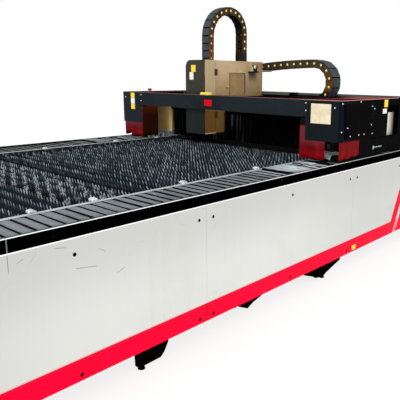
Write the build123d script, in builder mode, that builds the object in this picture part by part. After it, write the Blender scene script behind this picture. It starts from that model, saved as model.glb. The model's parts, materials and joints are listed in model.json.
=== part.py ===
"""Open-bed laser cutting machine for flat sheet.

A welded base carries saw-toothed slats. A gantry runs along it on two covered rails, a head carriage
crosses the gantry, and a lift slide carries the cutting head up and down.

Millimetres. X runs along the bed towards the rear, Y across it from the near side to the far side, and
Z up from the floor. The origin is on the floor under the middle of the bed. The gantry stands at its
rear stop.
"""

import math
import os

from build123d import *

# Outer sheet metal of the bed
bed_length = 4570
bed_width = 2530
kick_bottom = 120
kick_top = 222
panel_top = 771
edge_top = 826
end_top = 820
sheet = 3
panel_return = 35
panel_joint = 3
panel_count = 3
riser_foot_x = 1433
riser_width = 95
riser_slope = 2
riser_trim = 55
strip_seam_x = -1796
strip_seam = 2
strip_flange = 28

# Base frame and feet
tube = 100
tube_wall = 6
tube_bottom = 150
tube_y = 1180
tube_end_gap = 2
foot_xs = [-1925 + 790 * i for i in range(6)]
inner_post = 60
rail_beam_y = (1000, 1200)
rail_beam_z = (430, 700)
rail_beam_wall = 10
bracket_y = (1208, 1224)
corner_bracket = ((-70, 85), (-67, 24), (-56, 12), (82, 14), (107, 36), (134, 82))
short_bracket = ((-114, 86), (-31, 46), (24, 70), (104, 88))
long_bracket = ((-214, 80), (-98, 36), (-75, 20), (-15, 12), (35, 12), (56, 24), (249, 75))
outer_pad_y = 1216
inner_pad_y = 1080
feet = (
    (-1925, -35, outer_pad_y, corner_bracket),
    (-1135, -35, outer_pad_y, corner_bracket),
    (-345, 0, inner_pad_y, short_bracket),
    (445, 12, outer_pad_y, long_bracket),
    (2025, -35, outer_pad_y, corner_bracket),
)
foot_arm_half = 35
foot_arm_sheet = 16
foot_pad_radius = 20
foot_pad_sides = 8
foot_pad_height = 12
foot_pad_taper = 20
foot_stem_radius = 12

# Cutting bed
rest_top = 690
rest_depth = 90
rest_width = 50
rest_gap = 5
slat_half_width = 925
slat_top = 800
slat_thickness = 3
slat_teeth = 14
slat_valley = 38
slat_pitch = 88
slat_count = 36
first_slat_x = -2170
deck_front_x = 1010
deck_top = 780
guard_y = 935
guard_z = (560, 815)
guard_flange = 33
near_buffer_xs = (-2120, -1530, -1210, -615, 40)
far_buffer_xs = (-1855, -1160, -466, 229, 711)
buffer_y = (-948, -908)
buffer_length = 28
buffer_height = 14
buffer_chamfer = 6

# Drawers under the front end
drawer_y = (-870, -40)
drawer_z = (250.5, 478)
drawer_depth = 710
drawer_gap = 8
drawer_lap = 12
grip_reach = 60
grip_z = (380, 400)
grip_thickness = 16
grip_outer = (130, 110)
grip_inner = (108, 94)

# Extraction outlet at the rear end
spigot_radius = 125
spigot_length = 60
spigot_z = 480

# Long rails, racks and their covers
rail_y = 1115
rail_width = 35
rail_height = 38
rack_y = (1040, 1070)
rack_height = 35
rail_half_length = 2200
cover_y = (-1234, -971)
cover_z = (780, 816)
cover_skin = 10
cover_edge = 6
cover_end_x = 2228
cover_gap = 12

# Running blocks
block_half_width = 34
block_lift = 6
block_room = 1
block_xs = (940, 1280)
block_half_length = 55

# Gantry frame
cross_beam_x = (950, 1340)
cross_beam_z = (900, 1180)
cross_beam_wall = 8
leg_x = (930, 1340)
leg_outer_y = 1210
leg_front_y = 945
leg_front_bottom = 860
leg_corner = 60
leg_wall = 20
leg_rear_wall = 70
leg_cap = 10
rear_post_x = (1280, 1506)
rear_post_y = (-1210, -1080)
rear_post_top = 1147
saddle_x = (880, 1500)
saddle_z = (765, 790)
saddle_inner_y = 960
cap_post = 40
cap_post_y = (-1180, -1140)
cap_post_xs = (940, 1280)

# Gantry covers
gantry_front = 560
gantry_rear = 1650
rear_shelf_top = 1123
bar_bottom = 1141
bar_depth = 60
housing_outer_y = 1245
housing_inner_y = 955
housing_z = (971, 1260)
near_corner = 16
far_corner = 6
apron_bottom = 835
apron_front_x = 866
window_x = (1285, 1490)
window_top = 1246
ledge_front_x = 1050
ledge_z = (955, 963)
ledge_width = 8
side_cover_z = (985, 1238)
side_cover_front = (624, 604)
side_cover_rear = 1000
side_cover_depth = 12
side_cover_taper = 50
top_cover_gap = 1

# Flexible skirts and spark curtain
skin = 4
skirt_bottom = 834
skirt_y = (-1125, -905)
skirt_rear_x = 780
far_skirt_y = (951, 1119, 1228)
far_skirt_bottom = (841, 865)
far_skirt_rear_x = 755
side_skirt_x = (575, 593, 862)
side_skirt_z = (838, 970, 1010)
curtain_x = 930
curtain_half = 915
curtain_z = (836, 1080)
curtain_clamp = 25
strip_pitch = 61
strip_slit = 4
strip_count = 29

# Trough of the cross chain
trough_x = (1462, 1618)
trough_y = (-1240, 440)
trough_z = (1160, 1271)
trough_front_top = 1215
lid_start_y = -140
trough_foot_ys = (-900, -480, 30, 400)
trough_foot_half = 30
trough_foot_inset = 20

# Cross rails
cross_rail_height = 28
cross_rail_half = 940
cross_top_rail_x = 1085
cross_front_rail_z = 1120
cross_rack_height = 25
cross_rack_inset = 5
cross_block_lift = 4

# Drives
pinion_teeth = 14
pinion_tip = 29.6
pinion_root = 24
tooth_profile = ((pinion_root, -0.32), (pinion_tip, -0.14), (pinion_tip, 0.14), (pinion_root, 0.32))
pinion_lift = 3
pinion_width = 30
rack_reach = 30
drive_x = 1430
drive_y = 1010
drive_gearbox = 80
drive_motor = 76
drive_motor_corner = 10
drive_encoder = 60
drive_z = (790, 870, 1010, 1040)
shaft_radius = 10
shaft_clearance = 0.05

# Emergency stop and buffer on the front bar
stop_y = 860
stop_base_radius = 22
stop_base_bore = 8.3
stop_base_top = 1274
stop_stem_radius = 8
stop_stem_bottom = 1269
stop_cap = ((20, 1280), (20, 1293), (16, 1299), (9, 1302))
bar_buffer_y = 100
bar_buffer_size = (44, 122, 20)
bar_buffer_corner = 12
bar_buffer_edge = 6

# Head carriage
head_y = (185, 430)
head_mid_y = 295
head_front_x = 660
head_seam_x = 795
head_rear_x = 1452
head_z = (911, 1558)
head_edge = 14
box_floor = 1236
floor_cut_x = 1145
cheek_rear_x = 910
cheek_round = 14
cheek_open = 80
plate_x = (880, 905)
plate_z = (1235, 1260)
plate_rear_x = 1140
plate_bottom = 930
cross_block_pitch = 120
cross_block_half = 45
cross_drive_x = 1010
cross_motor = 68
cross_motor_corner = 9
cross_gearbox = 72
cross_motor_z = (1330, 1480)

# Lift
lift_rail_pitch = 120
lift_rail = 20
lift_rail_z = (935, 1195)
screw_x = 866
screw_radius = 8
screw_bottom = 985
screw_room = 0.4
bearing_z = (1200, 1222)
bearing_half = 25
bearing_front = 13
lift_motor_half = 27
lift_motor_z = (1300, 1420)
lift_bracket_half = 35
lift_bracket_x = (942, 958)
lift_bracket_sheet = 8
slide_x = (824, 850)
slide_y = (215, 375)
slide_z = (1020, 1290)
shoe_x = 876
shoe_half = 22
shoe_zs = (1050, 1140)
shoe_height = 50
shoe_room = 0.8
nut_x = 878
nut_z = (1105, 1138)
clamp_x = 777
clamp_z = (1090, 1210)
clamp_half = 30
arm_sheet = 10
arm_top = 1487
arm_front_x = 772
arm_foot = 12
arm_half = 25
arm_tongue_half = (15, 23)
arm_tongue_top = 1519

# Cutting head
nozzle_x = 744
nozzle_tip_z = 915
collar_half = 33
collar_z = (1060, 1200)
barrel = ((0, 945), (16, 945), (30, 985), (30, 1290), (18, 1290), (18, 1335), (0, 1335))
nozzle_cone = ((0, 915), (4, 915), (12, 935), (0, 935))
nozzle_hexagon = 14
nozzle_hexagon_z = (935, 945)
nozzle_bore = 1

# Hatch in the head box and hand slots across its seam
hatch_x = (985, 1175)
hatch_z = (1250, 1446)
hatch_lip_x = (970, 1196)
hatch_lip_y = 172
hatch_lip_z = (1454, 1457)
hinge_x = 1186
hinge_y = 178
hinge_radius = 4
hinge_lug = 14
hinge_lug_width = 12
hinge_pin_radius = 2
hinge_gap = 0.3
door_y = (181.5, 184.5)
door_lap = (8, 6)
door_lap_z = (6, 2)
door_tab = 54
door_tab_z = (1313, 1343)
knob_inset = 42
knob_radius = 8
knob_length = 12
hand_slot_zs = (1453, 1078)
hand_slot_x = 801
hand_slot = (44, 58)
hand_slot_corner = 8

# Drag chains
link_corner = 18.5
link_plate = 6
link_overlap = 22
link_bar = (32, 6)
chain_room = 5
cross_pitch = 75.5
cross_height = 72
cross_width = 140
cross_chain_x = 1540
cross_chain_z = 1541
run_sag = 30
loop_y = -404
loop_links = 7
upper_links = 8
lower_links = 8
arch_pitch = 64
arch_height = 66
arch_width = 88
arch_x = 1034
arch_z = 1767
arch_lean = 40
arch_links = 11
arch_front_links = 4
arch_rear_links = 3
arm_plate = (195, 330)
arm_plate_sheet = 8
arm_plate_gap = 1
shelf_x = (1240, 1330)
shelf_y = (130, 185)
shelf_z = (1455, 1467)
shelf_rib = 8
shelf_rib_outline = ((185, 1467), (185, 1549), (165, 1549), (130, 1490), (130, 1467))
cable_clamp_x = (1268, 1325)
cable_clamp_y = (145, 185)
cable_clamp_z = (1467, 1525)
arch_base_half = (46, 49)
arch_base_sheet = 4
arch_cheek_y = (38.5, 44)
arch_cheek_height = 78
arch_tongue_half = (22, 25)
arch_tongue_height = 75

half_length = bed_length / 2
half_width = bed_width / 2
loop_radius = cross_pitch / (2 * math.sin(math.pi / (2 * loop_links)))
arch_radius = arch_pitch / (2 * math.sin(math.pi / (2 * arch_links)))
arch_front_x = arch_x - arch_radius
arch_rear_x = arch_x + arch_radius


def around(middle, half):
    """Low and high bounds on either side of a middle."""
    return (middle - half, middle + half)


def block(x, y, z, mode=Mode.ADD):
    """A box between low and high bounds along each axis."""
    with Locations(((x[0] + x[1]) / 2, (y[0] + y[1]) / 2, (z[0] + z[1]) / 2)):
        Box(x[1] - x[0], y[1] - y[0], z[1] - z[0], mode=mode)


def prism(plane, points, depth, mode=Mode.ADD):
    """A straight-sided outline on a plane, extruded along the plane's normal."""
    with BuildSketch(plane) as outline:
        with BuildLine():
            Polyline(*points, close=True)
        make_face()
    extrude(outline.sketch, amount=depth, mode=mode)


def disc(plane, centre, radius, depth, mode=Mode.ADD):
    """A round bar or bore on a plane, along the plane's normal."""
    with BuildSketch(plane) as outline:
        with Locations(centre):
            Circle(radius)
    extrude(outline.sketch, amount=depth, mode=mode)


def turned(place, profile):
    """A piece turned on an upright axis, from radius and height pairs."""
    with BuildSketch(Plane.XZ.offset(-place[1])) as half:
        with BuildLine():
            Polyline(*[(place[0] + radius, z) for radius, z in profile], close=True)
        make_face()
    revolve(half.sketch, axis=Axis((place[0], place[1], 0), (0, 0, 1)))


def tray(plane, points):
    """A sheet panel with its edges folded inwards, open towards the machine."""
    prism(plane, points, panel_return)
    with BuildSketch(plane) as hollow:
        with BuildLine():
            Polyline(*points, close=True)
        make_face()
        offset(amount=-sheet, mode=Mode.REPLACE)
    extrude(hollow.sketch, amount=panel_return - sheet, mode=Mode.SUBTRACT)


def riser_x(z):
    """The slanted front edge of the red riser at a height."""
    return riser_foot_x + (z - kick_top) / riser_slope


def both_sides(part):
    """Adds a near-side part and its twin on the far side."""
    add(part)
    mirror(part, about=Plane.XZ)


def save(part, name):
    """Labels a piece and writes its file."""
    part.label = name
    export_step(part, "parts/" + name + ".step")


os.makedirs("parts", exist_ok=True)

# Base: tubes, posts and the machined beams under the rails
tube_z = (tube_bottom, tube_bottom + tube)
tube_bore_z = (tube_bottom + tube_wall, tube_bottom + tube - tube_wall)
with BuildPart() as lower_side_tubes:
    length = around(0, half_length - panel_return - tube_end_gap)
    for side in (-1, 1):
        block(length, around(side * tube_y, tube / 2), tube_z)
        block(length, around(side * tube_y, tube / 2 - tube_wall), tube_bore_z, Mode.SUBTRACT)
save(lower_side_tubes.part, "lower_side_tubes")

with BuildPart() as lower_cross_tubes:
    span = around(0, tube_y - tube / 2)
    for x in foot_xs:
        block(around(x, tube / 2), span, tube_z)
        block(around(x, tube / 2 - tube_wall), span, tube_bore_z, Mode.SUBTRACT)
save(lower_cross_tubes.part, "lower_cross_tubes")

with BuildPart() as frame_posts:
    outer_post_y = tube_y - tube / 2
    inner_post_y = guard_y - inner_post / 2
    for x in foot_xs:
        outer_post_z = (tube_z[1], rail_beam_z[0])
        block(around(x, tube / 2), (-rail_beam_y[1], -outer_post_y), outer_post_z)
        block(around(x, tube / 2), (outer_post_y, rail_beam_y[1]), outer_post_z)
        for y in (-inner_post_y, 0, inner_post_y):
            inner_post_z = (tube_z[1], rest_top - rest_depth)
            block(around(x, inner_post / 2), around(y, inner_post / 2), inner_post_z)
save(frame_posts.part, "frame_posts")

with BuildPart() as near_rail_beam:
    beam_x = around(0, cover_end_x)
    bore_y = (-rail_beam_y[1] + rail_beam_wall, -rail_beam_y[0] - rail_beam_wall)
    bore_z = (rail_beam_z[0] + rail_beam_wall, rail_beam_z[1] - rail_beam_wall)
    block(beam_x, (-rail_beam_y[1], -rail_beam_y[0]), rail_beam_z)
    block(beam_x, bore_y, bore_z, Mode.SUBTRACT)
with BuildPart() as rail_beams:
    both_sides(near_rail_beam.part)
save(rail_beams.part, "rail_beams")

# Feet: a plate cut to a slant under the side tube, with a levelling pad below it or on an arm further in
arm_bottom = tube_bottom - foot_arm_sheet
with BuildPart() as near_foot_brackets:
    for x, _, pad_y, lower_edge in feet:
        ahead, behind = lower_edge[0][0], lower_edge[-1][0]
        outline = [*lower_edge, (behind, tube_bottom), (ahead, tube_bottom)]
        prism(Plane.XZ.offset(bracket_y[0]), [(x + u, z) for u, z in outline], bracket_y[1] - bracket_y[0])
        if pad_y == inner_pad_y:
            arm_y = (-bracket_y[1], -pad_y + foot_arm_half)
            block(around(x, foot_arm_half), arm_y, (arm_bottom, tube_bottom))
with BuildPart() as foot_brackets:
    both_sides(near_foot_brackets.part)
save(foot_brackets.part, "foot_brackets")

with BuildPart() as levelling_feet:
    for x, shift, pad_y, _ in feet:
        places = [(x + shift, side * pad_y) for side in (-1, 1)]
        with BuildSketch():
            with Locations(*places):
                RegularPolygon(foot_pad_radius, foot_pad_sides)
        extrude(amount=foot_pad_height, taper=foot_pad_taper)
        if pad_y == inner_pad_y:
            with BuildSketch(Plane.XY.offset(foot_pad_height)):
                with Locations(*places):
                    RegularPolygon(foot_stem_radius, 6)
            extrude(amount=arm_bottom - foot_pad_height)
save(levelling_feet.part, "levelling_feet")

# Side panels: two plain trays, one cut back along the red riser, and the slanted trim behind the riser
side_plane = Plane.XZ.offset(half_width - panel_return)
panel_pitch = bed_length / panel_count
half_joint = panel_joint / 2
white_bottom = kick_top + half_joint
red_top = kick_top - half_joint
joints_x = [-half_length + panel_pitch * i for i in range(panel_count + 1)]
third_x = joints_x[2] + half_joint

with BuildPart() as near_side_panels:
    for start, end in zip(joints_x[:2], joints_x[1:3]):
        x0, x1 = start + half_joint, end - half_joint
        tray(side_plane, [(x0, white_bottom), (x1, white_bottom), (x1, panel_top), (x0, panel_top)])
    foot, head = (riser_x(z) - panel_joint for z in (white_bottom, panel_top))
    tray(side_plane, [(third_x, white_bottom), (foot, white_bottom), (head, panel_top), (third_x, panel_top)])
    foot, head = (riser_x(z) + riser_width + half_joint for z in (kick_bottom, panel_top))
    trim = riser_trim - panel_joint
    trim_foot = [(foot, kick_bottom), (foot + trim, kick_bottom)]
    tray(side_plane, trim_foot + [(head + trim, panel_top), (head, panel_top)])
save(near_side_panels.part, "near_side_panels")

with BuildPart() as far_side_panels:
    mirror(near_side_panels.part, about=Plane.XZ)
save(far_side_panels.part, "far_side_panels")

# Red kick strips, the riser at the rear, the red tail and the strips across both ends
with BuildPart() as near_red_panels:
    for start, end in zip(joints_x[:2], joints_x[1:3]):
        x0, x1 = start + half_joint, end - half_joint
        tray(side_plane, [(x0, kick_bottom), (x1, kick_bottom), (x1, red_top), (x0, red_top)])
    head = riser_x(panel_top)
    riser = [(third_x, kick_bottom), (riser_x(kick_bottom) + riser_width, kick_bottom)]
    riser += [(head + riser_width, panel_top), (head, panel_top)]
    riser += [(riser_x(red_top), red_top), (third_x, red_top)]
    tray(side_plane, riser)
    foot, head = (riser_x(z) + riser_width + riser_trim for z in (kick_bottom, panel_top))
    end = half_length - half_joint
    tray(side_plane, [(foot, kick_bottom), (end, kick_bottom), (end, panel_top), (head, panel_top)])

end_half = half_width - panel_return - half_joint
with BuildPart() as red_panels:
    both_sides(near_red_panels.part)
    for x in (-half_length, half_length - sheet):
        block((x, x + sheet), around(0, end_half), (kick_bottom, red_top))
save(red_panels.part, "red_panels")

# End panels, with the drawer openings in front and the extraction spigot behind
front_plane = Plane(origin=(-half_length + panel_return, 0, 0), x_dir=(0, -1, 0), z_dir=(-1, 0, 0))
rear_plane = Plane(origin=(half_length - panel_return, 0, 0), x_dir=(0, 1, 0), z_dir=(1, 0, 0))
end_outline = [(-end_half, kick_top), (end_half, kick_top), (end_half, end_top), (-end_half, end_top)]
with BuildPart() as end_panels:
    tray(front_plane, end_outline)
    cut_x = around(-half_length, sheet + 1)
    cut_z = (drawer_z[0] - drawer_gap, drawer_z[1] + drawer_gap)
    cut_half = (drawer_y[1] - drawer_y[0]) / 2 + drawer_gap
    for side in (-1, 1):
        block(cut_x, around(side * (drawer_y[0] + drawer_y[1]) / 2, cut_half), cut_z, Mode.SUBTRACT)
    tray(rear_plane, end_outline)
    wall_plane = rear_plane.offset(panel_return - sheet)
    disc(wall_plane, (0, spigot_z), spigot_radius, sheet + spigot_length)
    disc(wall_plane, (0, spigot_z), spigot_radius - sheet, sheet + spigot_length, Mode.SUBTRACT)
save(end_panels.part, "end_panels")

# Black edge strips along both long sides, each in two lengths
with BuildPart() as near_edge_strip:
    seam = around(strip_seam_x, strip_seam / 2)
    for x in ((-half_length, seam[0]), (seam[1], half_length)):
        block(x, (-half_width, -half_width + sheet), (panel_top, edge_top))
        block(x, (-half_width, -half_width + strip_flange), (edge_top - sheet, edge_top))
with BuildPart() as edge_strips:
    both_sides(near_edge_strip.part)
save(edge_strips.part, "edge_strips")

# Inner guards between the rails and the cutting bed, with white buffers on them
with BuildPart() as near_inner_guard:
    block(around(0, cover_end_x), (-guard_y - sheet, -guard_y), guard_z)
    block(around(0, cover_end_x), (-guard_y - guard_flange, -guard_y), (guard_z[1] - sheet, guard_z[1]))
with BuildPart() as inner_guards:
    both_sides(near_inner_guard.part)
save(inner_guards.part, "inner_guards")

with BuildPart() as edge_buffers:
    buffer_z = (guard_z[1], guard_z[1] + buffer_height)
    for x in near_buffer_xs:
        block(around(x, buffer_length / 2), buffer_y, buffer_z)
    for x in far_buffer_xs:
        block(around(x, buffer_length / 2), (-buffer_y[1], -buffer_y[0]), buffer_z)
    chamfer(edge_buffers.edges().group_by(Axis.Z)[-1], buffer_chamfer)
save(edge_buffers.part, "edge_buffers")

# Cutting bed: rests, saw-toothed slats and the plain deck behind them
with BuildPart() as slat_rests:
    rest_y = guard_y - rest_gap - rest_width / 2
    for y in (-rest_y, 0, rest_y):
        block(around(0, cover_end_x), around(y, rest_width / 2), (rest_top - rest_depth, rest_top))
save(slat_rests.part, "slat_rests")

tooth = 2 * slat_half_width / slat_teeth
slat_edge = [(-slat_half_width, rest_top), (slat_half_width, rest_top)]
for i in range(slat_teeth):
    right = slat_half_width - i * tooth
    slat_edge += [(right, slat_top - slat_valley), (right - tooth / 2, slat_top)]
slat_edge.append((-slat_half_width, slat_top - slat_valley))
with BuildPart() as slats:
    for i in range(slat_count):
        prism(Plane.YZ.offset(first_slat_x + i * slat_pitch), slat_edge, slat_thickness)
save(slats.part, "slats")

with BuildPart() as rear_deck:
    deck_x = (deck_front_x, cover_end_x)
    block(deck_x, around(0, slat_half_width), (rest_top, deck_top))
    block(deck_x, around(0, slat_half_width - sheet), (rest_top, deck_top - sheet), Mode.SUBTRACT)
save(rear_deck.part, "rear_deck")

# Scrap drawers with bow handles
with BuildPart() as near_scrap_drawer:
    front = -half_length - 1
    face = front - 2 * sheet
    block((front, front + drawer_depth), drawer_y, drawer_z)
    inside_x = (front, front + drawer_depth - sheet)
    inside_y = (drawer_y[0] + sheet, drawer_y[1] - sheet)
    block(inside_x, inside_y, (drawer_z[0] + sheet, drawer_z[1]), Mode.SUBTRACT)
    lap_y = (drawer_y[0] - drawer_lap, drawer_y[1] + drawer_lap)
    lap_z = (drawer_z[0] - drawer_lap, drawer_z[1] + drawer_lap)
    block((face, front), lap_y, lap_z)
    middle = (drawer_y[0] + drawer_y[1]) / 2
    reach = -half_length - grip_reach
    palm = reach + grip_thickness
    bow = [(face, -grip_outer[0]), (reach, -grip_outer[1]), (reach, grip_outer[1]), (face, grip_outer[0])]
    bow += [(face, grip_inner[0]), (palm, grip_inner[1]), (palm, -grip_inner[1]), (face, -grip_inner[0])]
    prism(Plane.XY.offset(grip_z[0]), [(x, middle + y) for x, y in bow], grip_z[1] - grip_z[0])
save(near_scrap_drawer.part, "near_scrap_drawer")

with BuildPart() as far_scrap_drawer:
    mirror(near_scrap_drawer.part, about=Plane.XZ)
save(far_scrap_drawer.part, "far_scrap_drawer")

# Long guide rails and racks on the rail beams
rail_x = around(0, rail_half_length)
with BuildPart() as guide_rails:
    for side in (-1, 1):
        rail_z = (rail_beam_z[1], rail_beam_z[1] + rail_height)
        block(rail_x, around(side * rail_y, rail_width / 2), rail_z)
save(guide_rails.part, "guide_rails")

with BuildPart() as near_rack:
    block(rail_x, (-rack_y[1], -rack_y[0]), (rail_beam_z[1], rail_beam_z[1] + rack_height))
with BuildPart() as racks:
    both_sides(near_rack.part)
save(racks.part, "racks")


def rail_cover(x):
    """A folding cover over a rail: a soft roof with a drop at each edge."""
    with BuildPart() as cover:
        block(x, cover_y, cover_z)
        under_y = (cover_y[0] + cover_edge, cover_y[1] - cover_edge)
        block(x, under_y, (cover_z[0], cover_z[1] - cover_skin), Mode.SUBTRACT)
    return cover.part


front_cover_x = (-cover_end_x, saddle_x[0] - cover_gap)
rear_cover_x = (saddle_x[1] + cover_gap, cover_end_x)
for place, cover_x in (("front", front_cover_x), ("rear", rear_cover_x)):
    near_cover = rail_cover(cover_x)
    save(near_cover, "near_" + place + "_bellows")
    save(mirror(near_cover, about=Plane.XZ), "far_" + place + "_bellows")

# Gantry: the cross beam and a truck under each end
with BuildPart() as gantry_beam:
    beam_y = around(0, rail_beam_y[0])
    bore_x = (cross_beam_x[0] + cross_beam_wall, cross_beam_x[1] - cross_beam_wall)
    bore_z = (cross_beam_z[0] + cross_beam_wall, cross_beam_z[1] - cross_beam_wall)
    block(cross_beam_x, beam_y, cross_beam_z)
    block(bore_x, beam_y, bore_z, Mode.SUBTRACT)
save(gantry_beam.part, "gantry_beam")

with BuildPart() as rear_post:
    block(rear_post_x, rear_post_y, (saddle_z[1], rear_post_top))
    fillet(rear_post.edges().filter_by(Axis.Z).group_by(Axis.X)[-1].sort_by(Axis.Y)[0], leg_corner)
with BuildPart() as near_truck:
    block(leg_x, (-leg_outer_y, -rail_beam_y[0]), (saddle_z[1], cross_beam_z[1]))
    rear_edge = near_truck.edges().filter_by(Axis.Z).group_by(Axis.X)[-1].sort_by(Axis.Y)[0]
    fillet(rear_edge, leg_corner)
    hollow_x = (leg_x[0] + leg_wall, leg_x[1] - leg_rear_wall)
    hollow_y = (-leg_outer_y + leg_wall, -rail_beam_y[0])
    block(hollow_x, hollow_y, (cross_beam_z[0] + leg_cap, cross_beam_z[1] - leg_cap), Mode.SUBTRACT)
    leg_front_z = (leg_front_bottom, cross_beam_z[1])
    block((leg_x[0], cross_beam_x[0]), (-leg_outer_y, -leg_front_y), leg_front_z)
    add(rear_post.part)
    block(saddle_x, (-leg_outer_y, -saddle_inner_y), saddle_z)
    for x in cap_post_xs:
        block((x, x + cap_post), cap_post_y, (cross_beam_z[1], housing_z[1]))
    saddle_thickness = saddle_z[1] - saddle_z[0]
    bore = shaft_radius + shaft_clearance
    disc(Plane.XY.offset(saddle_z[0]), (drive_x, -drive_y), bore, saddle_thickness, Mode.SUBTRACT)
with BuildPart() as trucks:
    both_sides(near_truck.part)
save(trucks.part, "trucks")

# Running blocks: a bridge over a rail with a little room round it
with BuildPart() as near_guide_blocks:
    for x in block_xs:
        block_z = (rail_beam_z[1] + block_lift, saddle_z[0])
        block(around(x, block_half_length), around(-rail_y, block_half_width), block_z)
    channel_z = (rail_beam_z[1], rail_beam_z[1] + rail_height + block_room)
    block(saddle_x, around(-rail_y, rail_width / 2 + block_room), channel_z, Mode.SUBTRACT)
with BuildPart() as guide_blocks:
    both_sides(near_guide_blocks.part)
save(guide_blocks.part, "guide_blocks")

# Gantry covers: a folded bar in front, a sheet behind, a chamfered housing over each truck
bar_x = (gantry_front, gantry_front + bar_depth)
inner_half = around(0, housing_inner_y)
with BuildPart() as front_bar:
    block(bar_x, inner_half, (bar_bottom, housing_z[1]))
    channel_z = (bar_bottom + sheet, housing_z[1] - sheet)
    block((bar_x[0] + sheet, bar_x[1]), inner_half, channel_z, Mode.SUBTRACT)
save(front_bar.part, "front_bar")

with BuildPart() as rear_cover:
    block((gantry_rear - sheet, gantry_rear), inner_half, (cross_beam_z[0], housing_z[1]))
    rear_shelf_z = (rear_shelf_top - sheet, rear_shelf_top)
    block((cross_beam_x[1], gantry_rear), inner_half, rear_shelf_z)
save(rear_cover.part, "rear_cover")

outer = housing_outer_y


def bevel_front(corner):
    """The two ends of the bevel at the outer front corner of a near-side cover."""
    return [(gantry_front, -outer + corner), (gantry_front + corner, -outer)]


def housing(corner):
    """A near-side housing over a truck, with an apron below it and a window in its side."""
    with BuildPart() as cover:
        height = housing_z[1] - housing_z[0]
        shell = [(gantry_front, -housing_inner_y)] + bevel_front(corner)
        shell += [(gantry_rear, -outer), (gantry_rear, -housing_inner_y)]
        prism(Plane.XY.offset(housing_z[0]), shell, height)
        bend = corner + sheet * math.tan(math.pi / 8)
        hollow = [(gantry_front + sheet, -housing_inner_y), (gantry_front + sheet, -outer + bend)]
        hollow += [(gantry_front + bend, -outer + sheet), (gantry_rear - sheet, -outer + sheet)]
        hollow += [(gantry_rear - sheet, -housing_inner_y)]
        prism(Plane.XY.offset(housing_z[0]), hollow, height, Mode.SUBTRACT)
        apron_z = (apron_bottom, housing_z[0])
        block((apron_front_x, gantry_rear), (-outer, -outer + sheet), apron_z)
        block((gantry_rear - sheet, gantry_rear), (-outer, -housing_inner_y), apron_z)
        block((ledge_front_x, gantry_rear), (-outer - ledge_width, -outer), ledge_z)
        block(window_x, (-outer, -outer + sheet), (housing_z[0], window_top), Mode.SUBTRACT)
    return cover.part


save(housing(near_corner), "near_housing")
save(mirror(housing(far_corner), about=Plane.XZ), "far_housing")

with BuildPart() as near_side_cover:
    low, high = side_cover_z
    with BuildSketch(Plane.XZ.offset(outer)):
        with BuildLine():
            rear_line = [(side_cover_rear, low), (side_cover_rear, high)]
            Polyline((side_cover_front[0], low), *rear_line, (side_cover_front[1], high), close=True)
        make_face()
    extrude(amount=side_cover_depth, taper=side_cover_taper)
with BuildPart() as side_covers:
    both_sides(near_side_cover.part)
save(side_covers.part, "side_covers")

top_cover_z = (housing_z[1], housing_z[1] + sheet)


def top_cover(corner):
    """The red plates on a near-side housing, in front of the chain trough and behind it."""
    with BuildPart() as plates:
        inner_edge = -housing_inner_y - top_cover_gap
        trough_edge = trough_x[0] - sheet
        front_piece = [(gantry_front, inner_edge)] + bevel_front(corner)
        front_piece += [(trough_edge, -outer), (trough_edge, inner_edge)]
        prism(Plane.XY.offset(top_cover_z[0]), front_piece, sheet)
        block((trough_x[1] + sheet, gantry_rear), (-outer, inner_edge), top_cover_z)
    return plates.part


with BuildPart() as top_covers:
    add(top_cover(near_corner))
    add(mirror(top_cover(far_corner), about=Plane.XZ, mode=Mode.PRIVATE))
    block(bar_x, inner_half, top_cover_z)
save(top_covers.part, "top_covers")

# Red flexible skirts: along the outer side of each housing, and round the inner front corner
with BuildPart() as near_side_skirt:
    side_y = (-outer + sheet, -outer + sheet + skin)
    flap_x, hung_x, rear_x = side_skirt_x
    bottom, flap_top, hung_top = side_skirt_z
    block((flap_x, hung_x), side_y, (bottom, flap_top))
    block((hung_x, rear_x), side_y, (bottom, hung_top))
with BuildPart() as skirts:
    both_sides(near_side_skirt.part)
    behind = gantry_front + sheet
    front_x = (behind, behind + skin)
    skirt_z = (skirt_bottom, bar_bottom)
    block(front_x, skirt_y, skirt_z)
    block((behind, skirt_rear_x), (skirt_y[1] - skin, skirt_y[1]), skirt_z)
    inner_y, step_y, outer_y = far_skirt_y
    block(front_x, (inner_y, step_y), (far_skirt_bottom[0], bar_bottom))
    block(front_x, (step_y, outer_y), (far_skirt_bottom[1], bar_bottom))
    block((behind, far_skirt_rear_x), (inner_y, inner_y + skin), (far_skirt_bottom[0], bar_bottom))
save(skirts.part, "skirts")

# Spark curtain of hanging strips, clamped to the front of the cross beam
with BuildPart() as spark_curtain:
    clamp_bottom = curtain_z[1] - curtain_clamp
    block((curtain_x, curtain_x + skin), around(0, curtain_half), curtain_z)
    block((curtain_x, cross_beam_x[0]), around(0, curtain_half), (clamp_bottom, curtain_z[1]))
    with Locations((curtain_x + skin / 2, 0, (curtain_z[0] + clamp_bottom) / 2)):
        with GridLocations(1, strip_pitch, 1, strip_count):
            Box(skin, strip_slit, clamp_bottom - curtain_z[0], mode=Mode.SUBTRACT)
save(spark_curtain.part, "spark_curtain")

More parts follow.
